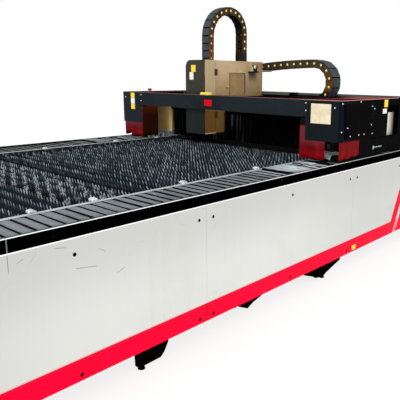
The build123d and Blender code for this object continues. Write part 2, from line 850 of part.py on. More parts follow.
# Trough for the lower run of the cross chain: a lid over its far end, a low front wall beside the loop
with BuildPart() as chain_trough:
    block(trough_x, trough_y, trough_z)
    inner_x = (trough_x[0] + sheet, trough_x[1] - sheet)
    block(inner_x, trough_y, (trough_z[0] + sheet, trough_z[1]), Mode.SUBTRACT)
    cut_y, cut_z = (trough_y[0], lid_start_y), (trough_front_top, trough_z[1])
    block((trough_x[0], inner_x[0]), cut_y, cut_z, Mode.SUBTRACT)
    block(trough_x, (lid_start_y, trough_y[1]), (trough_z[1], trough_z[1] + sheet))
    foot_x = (trough_x[0] + trough_foot_inset, trough_x[1] - trough_foot_inset)
    for y in trough_foot_ys:
        block(foot_x, around(y, trough_foot_half), (rear_shelf_top, trough_z[0]))
save(chain_trough.part, "chain_trough")

# Cross rails and rack on the beam
beam_front = cross_beam_x[0]
beam_top = cross_beam_z[1]
with BuildPart() as cross_rails:
    span = around(0, cross_rail_half)
    block(around(cross_top_rail_x, rail_width / 2), span, (beam_top, beam_top + cross_rail_height))
    block((beam_front - cross_rail_height, beam_front), span, around(cross_front_rail_z, rail_width / 2))
    cross_rack_x = (beam_front + cross_rack_inset, cross_drive_x - rack_reach)
    block(cross_rack_x, span, (beam_top, beam_top + cross_rack_height))
save(cross_rails.part, "cross_rails")

# Drive motors on the trucks: a gearbox, a motor with bevelled corners and its encoder
with BuildPart() as near_motor:
    gearbox_bottom, gearbox_top, motor_top, encoder_top = drive_z
    half_gearbox = drive_gearbox / 2
    block(around(drive_x, half_gearbox), around(-drive_y, half_gearbox), (gearbox_bottom, gearbox_top))
    with BuildSketch(Plane.XY.offset(gearbox_top)):
        with Locations((drive_x, -drive_y)):
            body = Rectangle(drive_motor, drive_motor)
        chamfer(body.vertices(), drive_motor_corner)
    extrude(amount=motor_top - gearbox_top)
    half_encoder = drive_encoder / 2
    block(around(drive_x, half_encoder), around(-drive_y, half_encoder), (motor_top, encoder_top))
with BuildPart() as drive_motors:
    both_sides(near_motor.part)
save(drive_motors.part, "drive_motors")


def pinion(x, y, gear_z, shaft_top):
    """A toothed pinion on its shaft."""
    step = 2 * math.pi / pinion_teeth
    teeth = []
    for i in range(pinion_teeth):
        for radius, turn in tooth_profile:
            angle = (i + turn) * step
            teeth.append((x + radius * math.cos(angle), y + radius * math.sin(angle)))
    with BuildPart() as gear:
        prism(Plane.XY.offset(gear_z[0]), teeth, gear_z[1] - gear_z[0])
        disc(Plane.XY.offset(gear_z[1]), (x, y), shaft_radius, shaft_top - gear_z[1])
    return gear.part


pinion_z = (rail_beam_z[1] + pinion_lift, rail_beam_z[1] + pinion_lift + pinion_width)
save(pinion(drive_x, -drive_y, pinion_z, saddle_z[1]), "near_drive_pinion")
save(pinion(drive_x, drive_y, pinion_z, saddle_z[1]), "far_drive_pinion")

# Emergency stop on the front bar, and the yellow buffer beside the head
stop_place = (gantry_front + bar_depth / 2, stop_y)
bar_top = top_cover_z[1]
with BuildPart() as stop_base:
    base_height = stop_base_top - bar_top
    disc(Plane.XY.offset(bar_top), stop_place, stop_base_radius, base_height)
    disc(Plane.XY.offset(bar_top), stop_place, stop_base_bore, base_height, Mode.SUBTRACT)
save(stop_base.part, "stop_base")

with BuildPart() as stop_button:
    cap_bottom, cap_top = stop_cap[0][1], stop_cap[-1][1]
    stem = [(0, stop_stem_bottom), (stop_stem_radius, stop_stem_bottom), (stop_stem_radius, cap_bottom)]
    turned(stop_place, [*stem, *stop_cap, (0, cap_top)])
save(stop_button.part, "stop_button")

with BuildPart() as bar_buffer:
    with BuildSketch(Plane.XY.offset(bar_top)):
        with Locations((stop_place[0], bar_buffer_y)):
            Rectangle(bar_buffer_size[0], bar_buffer_size[1])
    extrude(amount=bar_buffer_size[2])
    chamfer(bar_buffer.edges().filter_by(Axis.Z), bar_buffer_corner)
    chamfer(bar_buffer.edges().group_by(Axis.Z)[-1], bar_buffer_edge)
save(bar_buffer.part, "bar_buffer")

# Head carriage: an angle plate over the beam, its running blocks and lift rails
inside_y = (head_y[0] + sheet, head_y[1] - sheet)
with BuildPart() as carriage_plate:
    block((plate_x[0], plate_rear_x), inside_y, plate_z)
    block(plate_x, inside_y, (plate_bottom, plate_z[0]))
    block((screw_x - bearing_front, plate_x[0]), around(head_mid_y, bearing_half), bearing_z)
    shaft_bore = shaft_radius + shaft_clearance
    plate_thickness = plate_z[1] - plate_z[0]
    disc(Plane.XY.offset(plate_z[0]), (cross_drive_x, head_mid_y), shaft_bore, plate_thickness, Mode.SUBTRACT)
    screw_bore = screw_radius + shaft_clearance
    bearing_height = bearing_z[1] - bearing_z[0]
    disc(Plane.XY.offset(bearing_z[0]), (screw_x, head_mid_y), screw_bore, bearing_height, Mode.SUBTRACT)
save(carriage_plate.part, "carriage_plate")

with BuildPart() as cross_blocks:
    wide = block_half_width
    for y in around(head_mid_y, cross_block_pitch / 2):
        along = around(y, cross_block_half)
        block(around(cross_top_rail_x, wide), along, (beam_top + cross_block_lift, plate_z[0]))
        block((plate_x[1], beam_front - cross_block_lift), along, around(cross_front_rail_z, wide))
    reach = cross_rail_height + block_room
    room = rail_width / 2 + block_room
    block(around(cross_top_rail_x, room), head_y, (beam_top, beam_top + reach), Mode.SUBTRACT)
    block((beam_front - reach, beam_front), head_y, around(cross_front_rail_z, room), Mode.SUBTRACT)
save(cross_blocks.part, "cross_blocks")

lift_rail_ys = around(head_mid_y, lift_rail_pitch / 2)
with BuildPart() as lift_rails:
    for y in lift_rail_ys:
        block((plate_x[0] - lift_rail, plate_x[0]), around(y, lift_rail / 2), lift_rail_z)
save(lift_rails.part, "lift_rails")

with BuildPart() as cross_motor_part:
    half_gearbox = cross_gearbox / 2
    gearbox_z = (plate_z[1], cross_motor_z[0])
    block(around(cross_drive_x, half_gearbox), around(head_mid_y, half_gearbox), gearbox_z)
    with BuildSketch(Plane.XY.offset(cross_motor_z[0])):
        with Locations((cross_drive_x, head_mid_y)):
            body = Rectangle(cross_motor, cross_motor)
        chamfer(body.vertices(), cross_motor_corner)
    extrude(amount=cross_motor_z[1] - cross_motor_z[0])
save(cross_motor_part.part, "cross_motor")

cross_gear_z = (beam_top + 2, beam_top + cross_rack_height - 1)
save(pinion(cross_drive_x, head_mid_y, cross_gear_z, plate_z[1]), "cross_pinion")

with BuildPart() as lift_motor:
    bracket_y = around(head_mid_y, lift_bracket_half)
    bracket_bottom = lift_motor_z[0] - lift_bracket_sheet
    block((screw_x - lift_motor_half, lift_bracket_x[1]), bracket_y, (bracket_bottom, lift_motor_z[0]))
    block(lift_bracket_x, bracket_y, (plate_z[1], lift_motor_z[0]))
    screw_place = (screw_x, head_mid_y)
    disc(Plane.XY.offset(bracket_bottom), screw_place, screw_bore, lift_bracket_sheet, Mode.SUBTRACT)
    block(around(screw_x, lift_motor_half), around(head_mid_y, lift_motor_half), lift_motor_z)
save(lift_motor.part, "lift_motor")

with BuildPart() as lift_screw:
    disc(Plane.XY.offset(screw_bottom), screw_place, screw_radius, lift_motor_z[0] - screw_bottom)
save(lift_screw.part, "lift_screw")

# Beige head box with its hatch, and the black front cover
chain_slot_y = around(head_mid_y, arch_width / 2 + chain_room)
chain_slot_half = arch_height / 2 + 2 * chain_room
head_bottom, head_top = head_z


def head_profile(inset, front_x, bottom):
    """Side outline of the head box, inset by a wall."""
    cheek = cheek_rear_x - inset
    rear = head_rear_x - inset
    floor = box_floor + inset
    top = head_top - inset
    with BuildLine() as side:
        Polyline((front_x, bottom), (cheek - cheek_round, bottom))
        RadiusArc((cheek - cheek_round, bottom), (cheek, bottom + cheek_round), -cheek_round)
        Polyline((cheek, bottom + cheek_round), (cheek, floor), (rear, floor), (rear, top))
        Polyline((rear, top), (front_x, top), (front_x, bottom))
    return side.line


def cut_hand_slots():
    """Two hand slots across the seam, through both cheeks."""
    with BuildSketch(Plane.XZ.offset(-head_y[1])) as slots:
        for z in hand_slot_zs:
            with Locations((hand_slot_x, z)):
                RectangleRounded(*hand_slot, hand_slot_corner)
    extrude(slots.sketch, amount=head_y[1] - head_y[0], mode=Mode.SUBTRACT)


with BuildPart() as head_box:
    with BuildSketch(Plane.XZ.offset(-head_y[1])):
        make_face(head_profile(0, head_seam_x, head_bottom).edges())
    extrude(amount=head_y[1] - head_y[0])
    with BuildSketch(Plane.XZ.offset(-inside_y[1])):
        make_face(head_profile(sheet, head_seam_x, head_bottom - cheek_round).edges())
    extrude(amount=inside_y[1] - inside_y[0], mode=Mode.SUBTRACT)
    cheek_floor = (head_bottom, box_floor + sheet)
    block((cheek_rear_x - sheet, cheek_rear_x), inside_y, cheek_floor, Mode.SUBTRACT)
    cheek_foot = (head_bottom, head_bottom + cheek_open)
    block((cheek_rear_x - cheek_round, cheek_rear_x), inside_y, cheek_foot, Mode.SUBTRACT)
    block((cheek_rear_x - sheet, floor_cut_x), inside_y, (box_floor, box_floor + sheet), Mode.SUBTRACT)
    roof_z = (head_top - sheet, head_top)
    block((head_seam_x, arch_front_x + chain_slot_half), chain_slot_y, roof_z, Mode.SUBTRACT)
    block(hatch_x, (head_y[0], inside_y[0]), hatch_z, Mode.SUBTRACT)
    cut_hand_slots()
    block(hatch_lip_x, (hatch_lip_y, head_y[0]), hatch_lip_z)
    hinge_place = (hinge_x, hinge_y)
    for z in (hatch_z[0], hatch_z[1] - hinge_lug):
        lug_y = (hinge_y - hinge_radius, head_y[0])
        block((hinge_x, hinge_x + hinge_lug_width), lug_y, (z, z + hinge_lug))
        disc(Plane.XY.offset(z), hinge_place, hinge_radius, hinge_lug)
    pin_length = hatch_z[1] - hatch_z[0] - 2 * hinge_lug
    disc(Plane.XY.offset(hatch_z[0] + hinge_lug), hinge_place, hinge_pin_radius, pin_length)
save(head_box.part, "head_box")

with BuildPart() as head_front_cover:
    block((head_front_x, head_seam_x), head_y, head_z)
    fillet(head_front_cover.edges().filter_by(Axis.Z).group_by(Axis.X)[0], head_edge)
    with BuildPart(mode=Mode.SUBTRACT) as front_hollow:
        block((head_front_x + sheet, head_seam_x), inside_y, (head_bottom, head_top - sheet))
        fillet(front_hollow.edges().filter_by(Axis.Z).group_by(Axis.X)[0], head_edge - sheet)
    block((arch_front_x - chain_slot_half, head_seam_x), chain_slot_y, roof_z, Mode.SUBTRACT)
    cut_hand_slots()
save(head_front_cover.part, "head_front_cover")

# Hatch door: a plate outside the box, a hinge barrel at its rear edge, a tab and knob at its front edge
with BuildPart() as hatch_door:
    door_x = (hatch_x[0] - door_lap[0], hatch_x[1] + door_lap[1])
    block(door_x, door_y, (hatch_z[0] - door_lap_z[0], hatch_z[1] + door_lap_z[1]))
    block((hatch_x[0] - door_tab, hatch_x[0]), door_y, door_tab_z)
    barrel_z = (hatch_z[0] + hinge_lug + hinge_gap, hatch_z[1] - hinge_lug - hinge_gap)
    barrel_length = barrel_z[1] - barrel_z[0]
    disc(Plane.XY.offset(barrel_z[0]), hinge_place, hinge_radius, barrel_length)
    block((hatch_x[1], hinge_x - 1), (hinge_y + 1, door_y[1]), barrel_z)
    pin_bore = hinge_pin_radius + shaft_clearance
    disc(Plane.XY.offset(barrel_z[0]), hinge_place, pin_bore, barrel_length, Mode.SUBTRACT)
    knob_place = (hatch_x[0] - knob_inset, (door_tab_z[0] + door_tab_z[1]) / 2)
    disc(Plane.XZ.offset(-door_y[0]), knob_place, knob_radius, knob_length)
save(hatch_door.part, "hatch_door")

# Brackets for the chain ends on the head box, with a cable clamp on a small shelf
with BuildPart() as chain_brackets:
    arm_z = cross_chain_z - run_sag - cross_height / 2 - arm_plate_gap
    block((head_rear_x, cross_chain_x + cross_width / 2), arm_plate, (arm_z - arm_plate_sheet, arm_z))
    block(shelf_x, shelf_y, shelf_z)
    prism(Plane.YZ.offset(shelf_x[0]), shelf_rib_outline, shelf_rib)
    block(cable_clamp_x, cable_clamp_y, cable_clamp_z)
    base_x, base_y = around(arch_rear_x, arch_base_half[0]), around(head_mid_y, arch_base_half[1])
    block(base_x, base_y, (head_top, head_top + arch_base_sheet))
    tongue_x, tongue_y = around(arch_rear_x, arch_tongue_half[0]), around(head_mid_y, arch_tongue_half[1])
    block(tongue_x, tongue_y, (head_top, head_top + arch_tongue_height))
    cheek_x, cheek_z = around(arch_rear_x, arch_height / 2), (head_top, head_top + arch_cheek_height)
    block(cheek_x, (head_mid_y - arch_cheek_y[1], head_mid_y - arch_cheek_y[0]), cheek_z)
    block(cheek_x, (head_mid_y + arch_cheek_y[0], head_mid_y + arch_cheek_y[1]), cheek_z)
save(chain_brackets.part, "chain_brackets")

# Lift slide: plate, shoes on the lift rails, screw nut, head clamp and the post for the arched chain
with BuildPart() as lift_plate:
    block(slide_x, slide_y, slide_z)
    for y in lift_rail_ys:
        for z in shoe_zs:
            block((slide_x[1], shoe_x), around(y, shoe_half), (z, z + shoe_height))
        groove_x = (plate_x[0] - lift_rail - 1, shoe_x)
        block(groove_x, around(y, lift_rail / 2 + shoe_room), slide_z, Mode.SUBTRACT)
    block((slide_x[1], nut_x), around(head_mid_y, shoe_half), nut_z)
    nut_height = nut_z[1] - nut_z[0]
    disc(Plane.XY.offset(nut_z[0]), screw_place, screw_radius + screw_room, nut_height, Mode.SUBTRACT)
    clamp_y = around(head_mid_y, clamp_half)
    block((clamp_x, slide_x[0]), clamp_y, clamp_z)
    arm_x = slide_x[0] + arm_sheet
    block((slide_x[0], arm_x), clamp_y, (slide_z[1], arm_top))
    block((arm_front_x, arm_x), around(head_mid_y, arm_half), (arm_top - arm_foot, arm_top))
    tongue_x, tongue_y = around(arch_front_x, arm_tongue_half[0]), around(head_mid_y, arm_tongue_half[1])
    block(tongue_x, tongue_y, (arm_top, arm_tongue_top))
save(lift_plate.part, "lift_plate")


nozzle_place = (nozzle_x, head_mid_y)
with BuildPart() as cutting_head:
    block(around(nozzle_x, collar_half), around(head_mid_y, collar_half), collar_z)
    turned(nozzle_place, barrel)
save(cutting_head.part, "cutting_head")

with BuildPart() as nozzle:
    turned(nozzle_place, nozzle_cone)
    hexagon_bottom, hexagon_top = nozzle_hexagon_z
    with BuildSketch(Plane.XY.offset(hexagon_bottom)):
        with Locations(nozzle_place):
            RegularPolygon(nozzle_hexagon, 6)
    extrude(amount=hexagon_top - hexagon_bottom)
    disc(Plane.XY.offset(nozzle_tip_z), nozzle_place, nozzle_bore, hexagon_top - nozzle_tip_z, Mode.SUBTRACT)
save(nozzle.part, "nozzle")


def chain(plane, pins, first, size):
    """A drag chain of a pitch, height and width between pin points on a plane through its middle.

    Each link has two side plates and two crossbars, and every other link sits inside its neighbours.
    """
    pitch, height, width = size
    end = pitch / 2 + link_overlap
    high = height / 2
    plate = [(-end, -high + link_corner), (-end + link_corner, -high)]
    plate += [(end - link_corner, -high), (end, -high + link_corner)]
    plate += [(-u, -v) for u, v in plate]
    bar_v = high - link_bar[1] / 2
    links = []
    for (u0, v0), (u1, v1) in zip(pins[:-1], pins[1:]):
        turn = math.degrees(math.atan2(v1 - v0, u1 - u0))
        links.append(Location(((u0 + u1) / 2, (v0 + v1) / 2), turn))
    with BuildPart() as links_part:
        for parity, outer_face in ((0, width / 2), (1, width / 2 - link_plate)):
            chosen = [place for i, place in enumerate(links) if (i + first) % 2 == parity]
            inner_face = outer_face - link_plate
            for start in (inner_face, -outer_face):
                with BuildSketch(plane.offset(start)):
                    with Locations(*chosen):
                        Polygon(*plate, align=None)
                extrude(amount=link_plate)
            with BuildSketch(plane.offset(-inner_face)):
                with Locations(*chosen):
                    with Locations((0, bar_v), (0, -bar_v)):
                        Rectangle(link_bar[0], link_bar[1])
            extrude(amount=2 * inner_face)
    return links_part.part


def arc_pins(centre, radius, count, start, sweep):
    """Pin points round an arc, start and end included, angles in radians."""
    angles = [start + sweep * i / count for i in range(count + 1)]
    return [(centre[0] + radius * math.cos(a), centre[1] + radius * math.sin(a)) for a in angles]


# Cross chain: an upper run from the head box, a loop, and a lower run in the trough
cross_plane = Plane.YZ.offset(cross_chain_x)
loop_z = cross_chain_z - loop_radius
tail_z = cross_chain_z - 2 * loop_radius
cross_link = (cross_pitch, cross_height, cross_width)
upper_pins = []
for i in range(upper_links, -1, -1):
    upper_pins.append((loop_y + cross_pitch * i, cross_chain_z - run_sag * (i / upper_links) ** 2))
loop_pins = arc_pins((loop_y, loop_z), loop_radius, loop_links, math.pi / 2, math.pi)
tail_pins = [(loop_y + cross_pitch * i, tail_z) for i in range(1, lower_links + 1)]
save(chain(cross_plane, upper_pins, 0, cross_link), "cross_chain_run")
save(chain(cross_plane, loop_pins + tail_pins, upper_links, cross_link), "cross_chain_loop")

# Arched chain from the lift slide over to the head box, raised towards its rear leg
arch_plane = Plane.XZ.offset(-head_mid_y)
arch_link = (arch_pitch, arch_height, arch_width)
front_pins = [(arch_front_x, arch_z - arch_pitch * i) for i in range(arch_front_links, 0, -1)]
top_pins = arc_pins((arch_x, arch_z), arch_radius, arch_links, math.pi, -math.pi)
rear_pins = [(arch_rear_x, arch_z - arch_pitch * i) for i in range(1, arch_rear_links + 1)]
arch_pins = []
for x, z in front_pins + top_pins + rear_pins:
    arch_pins.append((x, z + arch_lean * ((x - arch_front_x) / (arch_rear_x - arch_front_x)) ** 2))
save(chain(arch_plane, arch_pins, 0, arch_link), "arch_chain")
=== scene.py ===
"""Looks of the open-bed laser cutting machine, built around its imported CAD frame.

Metres, in the frame of the CAD: X along the bed to the rear, Y across it to the far side, Z up from the
floor.
"""

import json
import math
import random

import bmesh
import bpy
from mathutils import Matrix, Vector


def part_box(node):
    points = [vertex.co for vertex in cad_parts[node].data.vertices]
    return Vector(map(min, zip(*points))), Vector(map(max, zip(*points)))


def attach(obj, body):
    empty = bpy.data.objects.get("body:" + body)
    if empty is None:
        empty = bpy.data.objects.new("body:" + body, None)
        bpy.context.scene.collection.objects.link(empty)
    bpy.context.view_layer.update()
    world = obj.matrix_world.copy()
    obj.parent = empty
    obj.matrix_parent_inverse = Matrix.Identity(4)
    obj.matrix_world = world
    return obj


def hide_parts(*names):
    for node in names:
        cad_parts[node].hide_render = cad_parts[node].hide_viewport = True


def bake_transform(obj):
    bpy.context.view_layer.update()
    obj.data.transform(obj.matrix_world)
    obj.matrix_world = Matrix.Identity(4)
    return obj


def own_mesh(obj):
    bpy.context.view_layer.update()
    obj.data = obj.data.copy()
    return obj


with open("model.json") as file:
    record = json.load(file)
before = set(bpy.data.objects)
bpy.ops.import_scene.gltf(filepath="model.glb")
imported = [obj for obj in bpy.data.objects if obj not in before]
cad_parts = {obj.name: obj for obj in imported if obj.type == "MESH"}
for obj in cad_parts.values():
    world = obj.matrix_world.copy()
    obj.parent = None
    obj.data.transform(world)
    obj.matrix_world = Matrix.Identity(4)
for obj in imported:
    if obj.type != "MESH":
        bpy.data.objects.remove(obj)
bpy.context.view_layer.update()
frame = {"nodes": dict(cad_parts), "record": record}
nodes = frame["nodes"]
scene = bpy.context.scene
chance = random.Random(7)

# Shader tools

FINISHES = {}


def tint(red, green, blue):
    """A colour from the 0 to 255 values of a picture, as the shader reads it."""
    parts = [value / 255 for value in (red, green, blue)]
    return tuple(p / 12.92 if p <= 0.04045 else ((p + 0.055) / 1.055) ** 2.4 for p in parts) + (1.0,)


class Nodes:
    """Short ways to place the nodes of one tree."""

    def __init__(self, tree):
        self.tree = tree

    def feed(self, socket, value):
        if isinstance(value, bpy.types.NodeSocket):
            self.tree.links.new(value, socket)
        else:
            socket.default_value = value

    def add(self, kind, takes, gives=0, **settings):
        """Places a node, feeds what it takes, by name or number, and returns what it gives."""
        node = self.tree.nodes.new("ShaderNode" + kind)
        for key, value in settings.items():
            setattr(node, key, value)
        for key, value in takes.items():
            self.feed(node.inputs[key], value)
        return node.outputs[gives]

    def math(self, operation, first, second=0.0):
        return self.add("Math", {0: first, 1: second}, operation=operation)

    def times(self, first, *others):
        """The product of masks and plain shares."""
        for other in others:
            first = self.math("MULTIPLY", first, other)
        return first

    def rest(self, mask):
        """What a mask leaves over."""
        return self.math("SUBTRACT", 1.0, mask)

    def stretched(self, vector, factors):
        return self.add("Mapping", {"Vector": vector, "Scale": factors})

    def noise(self, vector, scale, detail=4.0, roughness=0.6):
        size = {"Scale": scale, "Detail": detail, "Roughness": roughness}
        return self.add("TexNoise", {"Vector": vector, **size})

    def fade(self, value, low, high):
        """A smooth step from 0 at the low value to 1 at the high one."""
        steps = dict(enumerate((value, low, high, 0.0, 1.0)))
        return self.add("MapRange", steps, interpolation_type="SMOOTHSTEP")

    def mix(self, share, first, second):
        return self.add("Mix", {0: share, 6: first, 7: second}, 2, data_type="RGBA")

    def axis(self, vector, name):
        return self.add("SeparateXYZ", {0: vector}, name)


def effect(build, *takes):
    """A node group shared by several finishes, named after the function that fills it."""
    tree = bpy.data.node_groups.new(build.__name__, "ShaderNodeTree")
    for name in takes:
        kind = "NodeSocketVector" if name in ("Place", "Facing") else "NodeSocketFloat"
        tree.interface.new_socket(name, in_out="INPUT", socket_type=kind)
    tree.interface.new_socket("Result", in_out="OUTPUT", socket_type="NodeSocketFloat")
    given = tree.nodes.new("NodeGroupInput").outputs
    result = tree.nodes.new("NodeGroupOutput").inputs
    inside = Nodes(tree)
    inside.feed(result["Result"], build(inside, given))
    return tree


def soiling(n, given):
    """Soft patches of shop dirt with finer blotches in them."""
    broad = n.noise(given["Place"], given["Scale"], 5.0, 0.62)
    fine = n.noise(given["Place"], n.times(given["Scale"], 7.0))
    blotchy = n.math("ADD", n.times(broad, 0.68), n.times(fine, 0.32))
    return n.times(n.fade(blotchy, 0.42, 0.66), given["Amount"])


def streaks(n, given):
    """Upright runs and wipe marks; on the curtain, painted highlights of its pleats."""
    drawn = n.stretched(given["Place"], (1.0, 1.0, 0.035))
    runs = n.fade(n.noise(drawn, given["Scale"], 3.0), 0.5, 0.72)
    breaks = n.fade(n.noise(given["Place"], 2.3, 2.0), 0.35, 0.65)
    return n.times(runs, breaks, given["Amount"])


def scratches(n, given):
    """Thin scratches, gathered in a few places."""
    wobble = n.add("TexNoise", {"Vector": given["Place"], "Scale": 2.6}, 1)
    bent = n.add("VectorMath", {0: wobble, 1: (0.9, 0.9, 0.9), 2: given["Place"]}, operation="MULTIPLY_ADD")
    cells = n.add("TexVoronoi", {"Vector": bent, "Scale": given["Scale"]}, feature="DISTANCE_TO_EDGE")
    line = n.rest(n.fade(cells, 0.0, given["Width"]))
    patch = n.fade(n.noise(given["Place"], 1.7, 3.0), 0.52, 0.62)
    return n.times(line, patch, given["Amount"])


def settled_dust(n, given):
    """Dust on what faces up."""
    up = n.fade(n.axis(given["Facing"], "Z"), 0.55, 0.95)
    patchy = n.fade(n.noise(given["Place"], given["Scale"], 5.0), 0.3, 0.66)
    return n.times(up, patchy, given["Amount"])


def coat_grain(n, given):
    """The fine surface of a powder coat or a moulding, as a height."""
    fine = n.noise(given["Place"], given["Scale"], 2.0)
    return n.math("ADD", fine, n.times(n.noise(given["Place"], 9.0, 2.0), 0.6))


SOILING = effect(soiling, "Place", "Scale", "Amount")
STREAKS = effect(streaks, "Place", "Scale", "Amount")
SCRATCHES = effect(scratches, "Place", "Scale", "Width", "Amount")
DUST = effect(settled_dust, "Place", "Facing", "Scale", "Amount")
GRAIN = effect(coat_grain, "Place", "Scale")
DIRT_ROUGHNESS = 0.15
GRAIN_HEIGHT = 0.001
MARK_WIDTH = 0.0022


class Finish(Nodes):
    """A surface built up from a base colour, layer by layer."""

    def __init__(self, name, colour, roughness, metal=0.0, gloss=0.5):
        self.name = name
        self.material = bpy.data.materials.new(name)
        self.material.use_nodes = True
        super().__init__(self.material.node_tree)
        self.shader = self.tree.nodes["Principled BSDF"]
        self.shader.inputs["Metallic"].default_value = metal
        self.shader.inputs["Specular IOR Level"].default_value = gloss
        self.place = self.add("TexCoord", {}, "Object")
        self.facing = self.add("NewGeometry", {}, "Normal")
        self.colour = tint(*colour)
        self.roughness = roughness

    def effect(self, tree, **takes):
        return self.add("Group", {"Place": self.place, **takes}, node_tree=tree)

    def times(self, *masks):
        """The product of masks: sockets, plain shares, or an axis and where it is empty and full."""
        return super().times(*(self.along(*mask) if isinstance(mask, tuple) else mask for mask in masks))

    def cover(self, colour, *masks):
        """Lays a colour where all the masks are full."""
        if not isinstance(colour, bpy.types.NodeSocket):
            colour = tint(*colour)
        self.colour = self.mix(self.times(*masks), self.colour, colour)
        return self

    def soil(self, colour, scale, amount):
        mask = self.effect(SOILING, Scale=scale, Amount=amount)
        self.roughness = self.math("ADD", self.roughness, self.times(mask, DIRT_ROUGHNESS))
        return self.cover(colour, mask)

    def streak(self, colour, scale, amount):
        return self.cover(colour, self.effect(STREAKS, Scale=scale, Amount=amount))

    def scratch(self, colour, scale, width=0.004, amount=0.5):
        return self.cover(colour, self.effect(SCRATCHES, Scale=scale, Width=width, Amount=amount))

    def dust(self, colour, scale, amount):
        return self.cover(colour, self.effect(DUST, Facing=self.facing, Scale=scale, Amount=amount))

    def towards(self, axis, low=0.5, high=0.8):
        """Full on faces that point along an axis, either way."""
        return self.fade(self.math("ABSOLUTE", self.axis(self.facing, axis)), low, high)

    def along(self, axis, empty, full):
        """Empty at one place along an axis and full at another."""
        return self.fade(self.axis(self.place, axis), empty, full)

    def between(self, axis, low, high, soft=0.001):
        """Full from one place along an axis to another."""
        rise = self.along(axis, low - soft, low + soft)
        return self.math("SUBTRACT", rise, self.along(axis, high - soft, high + soft))

    def stroke(self, start, end):
        """A thin mark on an upright face, between two X and Z places."""
        (x0, z0), (x1, z1) = start, end
        run = self.math("SUBTRACT", self.axis(self.place, "X"), x0)
        height = self.math("ADD", self.times(run, (z1 - z0) / (x1 - x0)), z0)
        off = self.math("ABSOLUTE", self.math("SUBTRACT", self.axis(self.place, "Z"), height))
        line = self.rest(self.fade(off, 0.4 * MARK_WIDTH, MARK_WIDTH))
        return self.times(line, self.between("X", x0, x1, 0.004))

    def off_centre(self, count):
        """How far a running count is from the middle of its step."""
        return self.math("ABSOLUTE", self.math("SUBTRACT", self.math("FRACT", count), 0.5))

    def draw(self, *numbers):
        """A chance value for a cell with the given numbers."""
        cell = self.add("CombineXYZ", dict(enumerate(numbers)))
        return self.add("TexWhiteNoise", {"Vector": cell}, "Value")

    def done(self, grain, relief):
        """Joins the layers to the shader and keeps the finish under its name."""
        height = self.effect(GRAIN, Scale=grain)
        bump = self.add("Bump", {"Strength": relief, "Distance": GRAIN_HEIGHT, "Height": height})
        looks = {"Base Color": self.colour, "Roughness": self.roughness, "Normal": bump}
        for key, value in looks.items():
            self.feed(self.shader.inputs[key], value)
        FINISHES[self.name] = self.material


# Plain finishes: colour, roughness, metal, gloss; colour, scale and amount of the dirt; grain and its relief

PLAIN_FINISHES = {
    "soot_black": ((18, 18, 18), 0.8, 0, 0.02, (30, 30, 29), 6, 0.6, 300, 0.2),
    "worn_steel": ((58, 61, 63), 0.5, 0.4, 0.1, (34, 36, 37), 5, 0.7, 900, 0.06),
    "foot_black": ((3, 3, 3), 0.7, 0, 0, (18, 14, 12), 9, 0.6, 250, 0.2),
    "fold_shadow": ((9, 10, 12), 0.8, 0, 0.03, (22, 25, 27), 12, 0.5, 900, 0.1),
    "yellow_rubber": ((255, 228, 70), 0.5, 0, 0.5, (240, 196, 50), 14, 0.4, 400, 0.15),
    "white_plastic": ((222, 227, 229), 0.5, 0, 0.5, (104, 112, 116), 45, 0.8, 400, 0.12),
    "red_plastic": ((196, 12, 34), 0.28, 0, 0.5, (150, 6, 22), 18, 0.4, 400, 0.05),
    "black_plastic": ((18, 18, 19), 0.45, 0, 0.5, (34, 34, 34), 12, 0.5, 500, 0.12),
    "aluminium": ((176, 178, 180), 0.38, 0.9, 0.5, (120, 122, 124), 6, 0.5, 800, 0.08),
    "brass": ((196, 148, 70), 0.32, 1, 0.5, (120, 84, 36), 40, 0.6, 900, 0.08),
    "screw_black": ((2, 2, 2), 0.7, 0, 0, (14, 14, 13), 60, 0.5, 500, 0.1),
    "screw_steel": ((232, 235, 236), 0.35, 0.2, 0.5, (120, 122, 122), 40, 0.5, 900, 0.05),
    "yellow_plate": ((255, 222, 70), 0.5, 0, 0.2, (244, 196, 56), 14, 0.4, 500, 0.05),
    "white_plate": ((250, 246, 240), 0.5, 0, 0.2, (226, 212, 200), 16, 0.5, 500, 0.05),
    "red_plate": ((232, 2, 26), 0.5, 0, 0.05, (196, 4, 20), 16, 0.5, 500, 0.05),
    "cup_brown": ((96, 66, 38), 0.5, 0, 0.1, (54, 36, 20), 40, 0.6, 500, 0.1),
}
for name, (*base, dirt, scale, amount, grain, relief) in PLAIN_FINISHES.items():
    Finish(name, *base).soil(dirt, scale, amount).done(grain, relief)

coat = Finish("deep_black", (6, 6, 7), 0.7, gloss=0.01)
coat.soil((16, 12, 12), 3, 0.6).dust((44, 44, 43), 7, 0.4).done(600, 0.1)

coat = Finish("pan_black", (26, 25, 24), 0.8, gloss=0.03)
coat.soil((44, 38, 32), 5, 0.7).dust((58, 54, 50), 3, 0.6).done(300, 0.2)

coat = Finish("frame_grey", (96, 99, 103), 0.5, gloss=0.4)
coat.soil((62, 64, 66), 2, 0.6).scratch((150, 152, 154), 5).done(500, 0.08)

coat = Finish("bright_steel", (178, 182, 184), 0.34, metal=0.9)
coat.soil((96, 100, 102), 5, 0.6).scratch((215, 217, 218), 9).done(900, 0.06)

coat = Finish("cream_plate", (242, 230, 198), 0.45)
coat.soil((206, 192, 160), 9, 0.6).scratch((150, 136, 104), 16).done(500, 0.05)

FLOOR_GLOW = 0.82
coat = Finish("floor_paint", (126, 126, 126), 0.9, gloss=0)
coat.shader.inputs["Emission Color"].default_value = (1, 1, 1, 1)
coat.shader.inputs["Emission Strength"].default_value = FLOOR_GLOW
coat.soil((124, 124, 124), 0.5, 0.5).done(60, 0.02)

# Finishes of the bed

